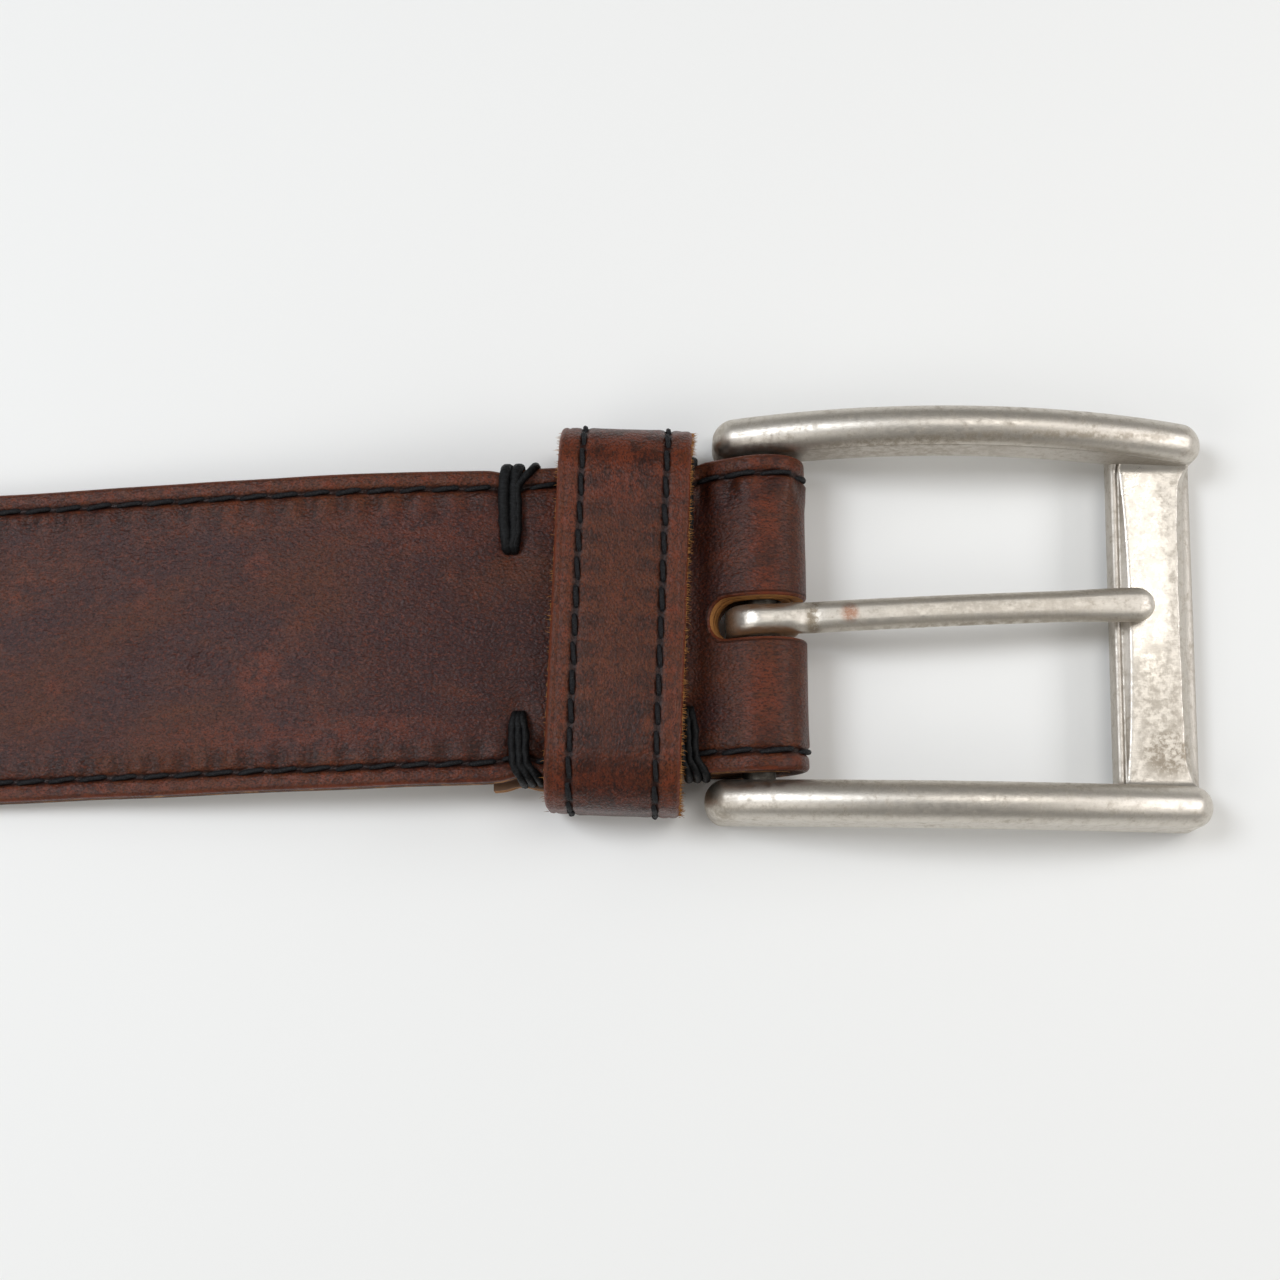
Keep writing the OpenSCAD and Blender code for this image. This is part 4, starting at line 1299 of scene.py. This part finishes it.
class BELT_OT_strap(bpy.types.Operator):
    """Makes the face ply and the lining of the strap"""

    bl_idname = "belt.strap"
    bl_label = "Strap"

    def execute(self, context):
        shape = StrapShape()
        at = shape.top_travel
        spots = [
            ((at(-62.5), -6.0, 6.0), (3.0, 4.6, 30.0), 0.62),
            ((at(-62.8), 8.4, 6.0), (1.8, 1.6, 30.0), 0.5),
            ((at(-89.3), -5.7, 6.0), (1.2, 1.2, 30.0), 0.45),
            ((at(-77.8), 6.0, 6.0), (1.7, 2.4, 30.0), 0.5),
            ((at(-58.0), -13.0, 4.0), (20.0, 2.0, 30.0), 0.5),
            ((at(-40.0), 12.5, 4.0), (14.0, 3.2, 30.0), 0.35),
            ((at(-26.0), 14.0, 4.0), (6.0, 3.0, 30.0), 0.5),
            ((at(0.0), 8.0, 6.0), (1.6, 9.0, 30.0), 0.75),
            ((at(0.4), -11.0, 6.0), (1.8, 5.0, 30.0), 0.70),
        ]
        grain = grain_leather("strap_grain", "strap", spots, shape.inset, shape.pitch)
        edge = edge_leather("strap_edge", colour_of("edge"), 0.25)
        raw = edge_leather("raw_leather_edge", colour_of("raw"), 0.9)
        lining = lining_leather("lining_grain", colour_of("lining"))
        piece = self.ply("strap_outer", shape, False, [grain, lining, edge, raw])
        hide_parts("strap_face", "face_lift", "face_fold")
        piece = self.ply("strap_inner", shape, True, [raw, lining, edge, raw])
        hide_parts("strap_lining", "lining_lift", "lining_fold")
        return {"FINISHED"}

    def ply(self, name, shape, inner, materials):
        """The grain ply, or the inner one on a coarser net. A hair of air parts the two."""
        net, cells = strap_net(shape, inner)
        u, v = net[:, 0], net[:, 1]
        parting = 0.015 + 0.5 * shape.rounding(shape.edge_gap(u, v), 0.2)
        top, bottom = shape.split - parting, shape.split + parting
        if inner:
            bottom = shape.lining_low(u, v)
        else:
            top = shape.face_top(u, v)
        points, faces, kinds, source = leather_sheet(net, cells, shape.place, top, bottom, 0.05)
        kinds = self.edge_kinds(shape, net, source, faces, kinds)
        return new_piece(name, points, faces, materials, kinds, strap_fields(shape, net, source), "strap")

    def edge_kinds(self, shape, net, source, faces, kinds):
        """Walls of the slot and of the turned-back end's corners are raw, kind 3."""
        start, end = shape.cuts()[0][:2]
        first = source[[face[0] for face in faces]]
        travel, across = net[first, 0], net[first, 1]
        slot = (kinds == 2) & (travel > start - 4) & (travel < end + 4) & (np.abs(across) < 6)
        back = (kinds == 2) & (travel > shape.end - 13)
        holes = (kinds == 2) & (np.abs(across) < 6) & (travel < shape.end - 200) & (travel > 30)
        return np.where(slot | back | holes, 3, kinds)


class BELT_OT_seams(bpy.types.Operator):
    """Sews the needle thread on the face and the bobbin thread on the back"""

    bl_idname = "belt.seams"
    bl_label = "Seams"

    def execute(self, context):
        shape = StrapShape()
        cfg = settings().stitch
        thread = twisted("sewing_thread", "thread", 0.62, 0.30)
        centres, headings = seam_centres(shape)
        size = cfg.thickness * METRE
        length = shape.pitch * STITCH_SHARE
        on_face = shape.total / 2 - shape.skin - shape.seam_groove + 0.66 * size
        on_back = -shape.total / 2 + 0.5 * size + 0.02
        rows = (("face", on_face, 0.22, 0.62, 71), ("back", on_back, -0.15, -0.5, 72))
        for side, height, slant, sink, seed in rows:
            lift = np.full(len(centres), height)
            made = stitch_row(centres, headings, length, size, shape.place, lift, slant, sink, seed)
            piece = corded("seam_stitches_" + side, made, thread, "strap")
            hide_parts("seam_thread_" + side)
        return {"FINISHED"}


class BELT_OT_tacks(bpy.types.Operator):
    """Binds the turned-back end to the strap with four tacks of waxed cord"""

    bl_idname = "belt.tacks"
    bl_label = "Cord tacks"

    def execute(self, context):
        shape = StrapShape()
        cord = twisted("waxed_cord", "cord", 0.50, 0.12)
        pairs = ((-0.70, 0.72, 0.0), (0.66, 0.72, 0.1), (1.05, 0.50, 1.9))
        threes = ((-0.80, 0.52, -0.1), (0.0, 0.56, 0.15), (0.80, 0.50, 0.45))
        nodes = ("tack_upper_left", "tack_lower_left", "tack_upper_right", "tack_lower_right")
        for node, place, strands in zip(nodes, shape.tacks, (pairs, threes, threes, threes)):
            piece = corded("cord_" + node, tack_parts(shape, *place, strands), cord, "strap")
            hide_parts(node)
        return {"FINISHED"}


class BELT_OT_keeper(bpy.types.Operator):
    """Makes the keeper loop with its raw fibres, its stitches and its staple"""

    bl_idname = "belt.keeper"
    bl_label = "Keeper"

    def execute(self, context):
        shape = KeeperShape()
        spots = [
            ((36.0, 6.6, 4.0), (16.0, 1.6, 30.0), 0.6),
            ((88.0, -6.4, 4.0), (9.0, 1.7, 30.0), 0.7),
            ((39.5, 0.0, 4.0), (7.0, 9.0, 30.0), 0.75),
            ((85.5, 0.0, 4.0), (7.0, 9.0, 30.0), 0.4),
            ((44.0, -6.2, 4.0), (7.0, 2.0, 30.0), 0.5),
            ((86.0, 5.8, 4.0), (10.0, 2.0, 30.0), 0.5),
        ]
        grain = grain_leather("keeper_grain", "keeper", spots, shape.seam_inset, shape.pitch)
        raw = edge_leather("keeper_raw_edge", colour_of("keeper_brown"), 0.75)
        flesh = edge_leather("keeper_flesh_side", colour_of("raw"), 0.6)
        half = shape.width / 2
        columns = [0, 0.04, 0.13, 0.27, 0.45, 0.65, 0.85, 1.0, 1.15, 1.3, 1.6, 2.0, 2.35, 2.6, 2.8, 3.0,
                   3.2, 3.4, 3.65, 4.0, 4.5, 5.2, 6.2, 7.2]
        across = np.array([-half + c for c in columns] + [0.0] + [half - c for c in columns[::-1]])
        end_steps = np.array([0, 0.05, 0.15, 0.3, 0.5, 0.7])
        travel = np.concatenate([
            shape.butt + end_steps, np.arange(shape.butt + 1.1, shape.end - shape.butt - 1.1, 0.44),
            shape.end - shape.butt - end_steps[::-1],
        ])
        net, cells = flat_net(travel, across, [])
        u, v = net[:, 0], net[:, 1]
        gap = shape.edge_gap(u, v)
        under = -shape.thickness + 0.04 * (1 + wander(14, 2.5, u, v)) + 0.08 * hump(gap, 0, 0.3)
        points, faces, kinds, source = leather_sheet(net, cells, shape.place, shape.top(u, v), under, 0.10)
        fields = {"plan": np.stack([u, v, gap], -1)[source]}
        piece = new_piece("keeper_loop", points, faces, [grain, flesh, raw], kinds, fields, "keeper")
        outward(piece)
        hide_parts("keeper_band")
        self.fibres(shape, flesh)
        self.stitches(shape)
        self.staple(shape)
        return {"FINISHED"}

    def fibres(self, shape, material):
        """Short raw fibres that stand out of the cut edges."""
        draw = np.random.default_rng(9)
        parts = []
        for _ in range(900):
            side = 1 if draw.random() < 0.72 else -1
            travel = draw.uniform(20, shape.end - 20)
            if side < 0 and not 24 < travel < 44 and draw.random() < 0.7:
                continue
            length = draw.uniform(0.25, 0.85) * draw.uniform(0.5, 1.0)
            depth = -draw.uniform(0.1, shape.thickness - 0.2)
            steps = np.linspace(-0.25, 1, 5)
            curl = draw.uniform(-0.5, 0.5)
            rise = draw.uniform(-0.35, 0.5)
            out = side * (shape.width / 2 + steps * length)
            along = travel + curl * steps**2 * length
            lift = depth + rise * np.clip(steps, 0, 1) ** 2 * length
            path = shape.place(along, out, lift)
            thick = 0.035 * (1.15 - np.clip(steps, 0, 1))
            parts.append(tube(path, thick, thick, (0.1, 0.3, 1), 4))
        piece = corded("keeper_fibres", gathered(parts), material, "keeper")

    def stitches(self, shape):
        thread = bpy.data.materials["sewing_thread"]
        cfg = settings().stitch
        size = cfg.thickness * METRE
        steps = np.arange(2.2, shape.end - 2.0, shape.pitch)
        for name, side in (("left", -1), ("right", 1)):
            row = side * (shape.width / 2 - shape.seam_inset)
            centres = np.stack([steps, np.full(len(steps), row)], -1)
            height = np.interp(steps, shape.travel, shape.z)
            lift = np.where(height < 1.5, -0.50 * size, -0.34 + 0.55 * size)
            headings, length = np.zeros(len(steps)), shape.pitch * STITCH_SHARE
            made = stitch_row(
                centres, headings, length, size, shape.place, lift, 0.16, 0.6, 80 + side
            )
            piece = corded("keeper_stitches_" + name, made, thread, "keeper")
            outward(piece)
            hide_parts("keeper_thread_" + name)

    def staple(self, shape):
        """Wire staple across the butt joint, its legs clinched inside the loop."""
        steel = old_nickel("staple_steel", "steel", "steel_dull", [], 0.30)
        half, wire = 4.0, 0.34
        line = [
            (-half + 1.1, 1.98), (-half + 0.45, 2.02), (-half, 1.75), (-half, 1.0), (-half + 0.02, 0.5),
            (-half + 0.25, 0.36), (-half + 1.0, 0.35), (0, 0.35), (half - 1.0, 0.35), (half - 0.25, 0.36),
            (half - 0.02, 0.5), (half, 1.0), (half, 1.75), (half - 0.45, 2.02), (half - 1.1, 1.98),
        ]
        line = through(line, 8)
        path = turned(np.stack([0 * line[:, 0], line[:, 0], line[:, 1]], -1), shape.skew)
        path[:, 0] -= shape.behind
        side = (math.cos(shape.skew), -math.sin(shape.skew), 0)
        piece = corded("staple_wire_clinched", tube(path, wire, wire, side, 12), steel, "keeper")
        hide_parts("keeper_staple")


class BELT_OT_buckle(bpy.types.Operator):
    """Casts the bowed frame: two side arms, the front bar and the heel bar"""

    bl_idname = "belt.buckle"
    bl_label = "Buckle frame"

    def execute(self, context):
        shape = BuckleShape()
        spots = [
            ("polish", (48.6, 6.0, 5.0), (3.0, 15.0, 1.2), 0.95),
            ("tarnish", (50.0, -18.5, 5.0), (3.4, 3.0, 3.0), 0.8),
            ("tarnish", (49.5, -12.0, 5.0), (3.6, 6.5, 3.0), 0.42),
            ("tarnish", (28.0, 20.4, 12.0), (26.0, 0.6, 4.0), 0.70),
            # Painted shade: these two spots darken the arms' ends by the heel bar, under the fold.
            ("tarnish", (-5.6, -23.0, 6.0), (2.0, 3.5, 4.0), 0.60),
            ("tarnish", (-5.0, 23.6, 6.0), (1.6, 3.2, 4.0), 0.45),
        ]
        inner_wall = [("tarnish", (28.0, 20.6, 10.0), (30.0, 1.2, 6.0), 0.5)]
        metals = [
            old_nickel("buckle_nickel", "nickel", "tarnish", spots, 0.34),
            # A rougher copy of the nickel, its darker colour painted shade for the walls.
            old_nickel("buckle_nickel_matt", "nickel_matt", "tarnish", inner_wall, 0.42),
            # The heel bar's nickel, painted near black as shade.
            old_nickel("heel_bar_nickel", "heel", "heel_painted_shade", [], 0.45),
        ]
        parts = []
        for side in (-1, 1):
            rings, way = shape.arm_rings(side)
            points, faces = loft(rings, False)
            for base in (0, len(points) - len(way)):
                faces += [[base + k for k in face] for face in shape.arm_caps]
            # The arms' inner walls take the matt nickel, which is rougher and painted darker as shade.
            kinds = np.zeros(len(faces), int)
            inner = np.nonzero(way < -0.3)[0]
            for level in range(4, 15):
                kinds[level * len(way) + inner] = 1
            parts.append(self.part("arm_%d" % side, points, faces, metals, kinds))
        rings = shape.front_rings()
        points, faces = loft(rings)
        columns = rings.shape[1]
        column = np.arange(len(faces)) % columns
        # The front bar's walls, ridge and groove take the same matt nickel, darker as painted shade.
        matt_and_shaded = ((column >= 3) & (column <= 9)) | (column >= columns - 14)
        parts.append(self.part("front", points, faces, metals, matt_and_shaded.astype(int)))
        # The heel bar takes the third metal, painted dark as shade.
        reach = np.linspace(-shape.window - 1.5, shape.window + 1.5, 40)
        points, faces = rod(settings().buckle.bar_radius * METRE, 48, reach)
        parts.append(self.part("heel", points, faces, metals, np.full(len(faces), 2)))
        frame_piece = parts[0]
        frame_piece.name = frame_piece.data.name = "buckle_frame_cast"
        joined(frame_piece, parts[1:], "UNION")
        crease(frame_piece, 38)
        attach(frame_piece, "frame")
        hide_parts("buckle_frame")
        return {"FINISHED"}

    def part(self, name, points, faces, metals, kinds):
        piece = new_piece(name, turned(points, settings().buckle.skew), faces, metals, kinds)
        outward(piece)
        return piece


class BELT_OT_tongue(bpy.types.Operator):
    """Forges the tongue: knuckle with its eye round the heel bar, waist and bowed shank"""

    bl_idname = "belt.tongue"
    bl_label = "Tongue"
    play = 0.15

    def execute(self, context):
        spots = [
            ("tarnish", (6.3, -0.9, 10.0), (1.0, 3.0, 3.0), 0.95),
            ("rust", (10.8, -0.5, 10.6), (1.0, 1.1, 2.0), 0.75),
            ("polish", (-1.5, -0.9, 10.6), (2.6, 1.5, 0.8), 0.7),
            ("tarnish", (30.0, -0.4, 10.4), (17.0, 3.0, 2.0), 0.30),
            ("tarnish", (-4.3, -0.9, 8.5), (1.1, 2.5, 3.0), 0.85),
            ("tarnish", (27.0, -2.6, 8.6), (17.0, 0.8, 1.8), 0.75),
        ]
        metal = old_nickel("tongue_nickel", "nickel", "tarnish", spots, 0.36)
        points, faces = loft(tongue_rings())
        piece = new_piece("tongue_forged", points, faces, [metal])
        outward(piece)
        cfg = settings().buckle
        points, faces = rod(cfg.bar_radius * METRE + self.play, 64, (-8.0, 8.0))
        eye = new_piece("eye", turned(points, cfg.skew), faces, [metal])
        outward(eye)
        joined(piece, [eye], "DIFFERENCE")
        crease(piece, 42)
        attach(piece, "tongue")
        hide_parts("tongue")
        return {"FINISHED"}


class BELT_OT_stage(bpy.types.Operator):
    """Sets the pale table, the soft lights and the camera"""

    bl_idname = "belt.stage"
    bl_label = "Table, lights and camera"
    table_reach = 9000.0
    table_drop = 0.12
    # Lamps: name, place from the heel bar and plate in metres, watts, tint
    lamps = (
        ("softbox_left", (-0.37, 0.12, 0.60), (0.20, 0.26), 1.95, (0.88, 0.93, 1.0)),
        ("softbox_right", (0.18, 0.11, 0.60), (0.18, 0.30), 0.68, (1.0, 0.985, 0.965)),
        ("window_right", (0.42, 0.02, 0.25), (0.30, 0.14), 0.68, (0.98, 0.98, 1.0)),
        ("window_left", (-0.45, 0.05, 0.28), (0.30, 0.24), 0.26, (0.93, 0.95, 1.0)),
        ("near_left", (-0.34, -0.26, 0.36), (0.26, 0.26), 0.38, (1.0, 0.985, 0.96)),
        ("near_right", (0.42, -0.22, 0.36), (0.26, 0.26), 0.33, (1.0, 0.98, 0.95)),
    )

    def execute(self, context):
        scene = bpy.context.scene
        cfg = settings().stage
        axis = np.linspace(-self.table_reach, self.table_reach, 13)
        net, cells = flat_net(axis, axis, [])
        points = np.column_stack([net, np.full(len(net), -self.table_drop)])
        table = new_piece("table", points, cells.tolist(), [table_top("table_paint", colour_of("floor"))])
        lens = bpy.data.cameras.new("camera")
        lens.lens = cfg.lens
        lens.sensor_width = 36.0
        lens.clip_start, lens.clip_end = 0.01, 30.0
        camera = bpy.data.objects.new("camera", lens)
        scene.collection.objects.link(camera)
        roll, tilt, turn = cfg.camera_turn
        spin = Matrix.Rotation(roll, 4, "Y") @ Matrix.Rotation(tilt, 4, "X") @ Matrix.Rotation(turn, 4, "Z")
        camera.matrix_world = Matrix.Translation(Vector(cfg.camera_place) + Vector((BAR.x, 0, 0))) @ spin
        scene.camera = camera
        world = bpy.data.worlds.new("studio")
        world.use_nodes = True
        sky = world.node_tree.nodes["Background"]
        sky.inputs["Color"].default_value = (1.0, 0.99, 0.96, 1.0)
        sky.inputs["Strength"].default_value = 0.265
        scene.world = world
        scene.view_settings.view_transform = "Standard"
        for name, place, plate, power, tint in self.lamps:
            lamp = bpy.data.lights.new(name, "AREA")
            lamp.shape = "RECTANGLE"
            lamp.size, lamp.size_y = plate
            lamp.energy = power
            lamp.color = tint
            light = bpy.data.objects.new(name, lamp)
            light.location = Vector(place) + Vector((BAR.x, 0, 0))
            aim = Vector((BAR.x - 0.01, 0, 0)) - light.location
            light.rotation_euler = aim.to_track_quat("-Z", "Y").to_euler()
            scene.collection.objects.link(light)
        return {"FINISHED"}


class BELT_PT_panel(bpy.types.Panel):
    bl_idname = "BELT_PT_panel"
    bl_label = "Leather belt"
    bl_space_type = "VIEW_3D"
    bl_region_type = "UI"
    bl_category = "Belt"

    def draw(self, context):
        belt = context.scene.leather_belt
        for operator in PIECES:
            self.layout.operator(operator.bl_idname)
        for group in ("strap", "stitch", "keeper", "buckle", "finish", "stage"):
            column = self.layout.column(heading=group.capitalize())
            values = getattr(belt, group)
            for label in values.__annotations__:
                column.prop(values, label)


PIECES = (
    BELT_OT_stage, BELT_OT_strap, BELT_OT_seams, BELT_OT_tacks, BELT_OT_keeper, BELT_OT_buckle,
    BELT_OT_tongue,
)
GROUPS = (
    StrapSettings, StitchSettings, KeeperSettings, BuckleSettings, FinishSettings, StageSettings,
    BeltSettings,
)


def register():
    for kind in GROUPS + PIECES + (BELT_PT_panel,):
        bpy.utils.register_class(kind)
    bpy.types.Scene.leather_belt = PointerProperty(type=BeltSettings)


def unregister():
    del bpy.types.Scene.leather_belt
    for kind in reversed(GROUPS + PIECES + (BELT_PT_panel,)):
        bpy.utils.unregister_class(kind)


def main():
    register()
    for operator in ("stage", "strap", "seams", "tacks", "keeper", "buckle", "tongue"):
        getattr(bpy.ops.belt, operator)()


if __name__ == "__main__":
    main()
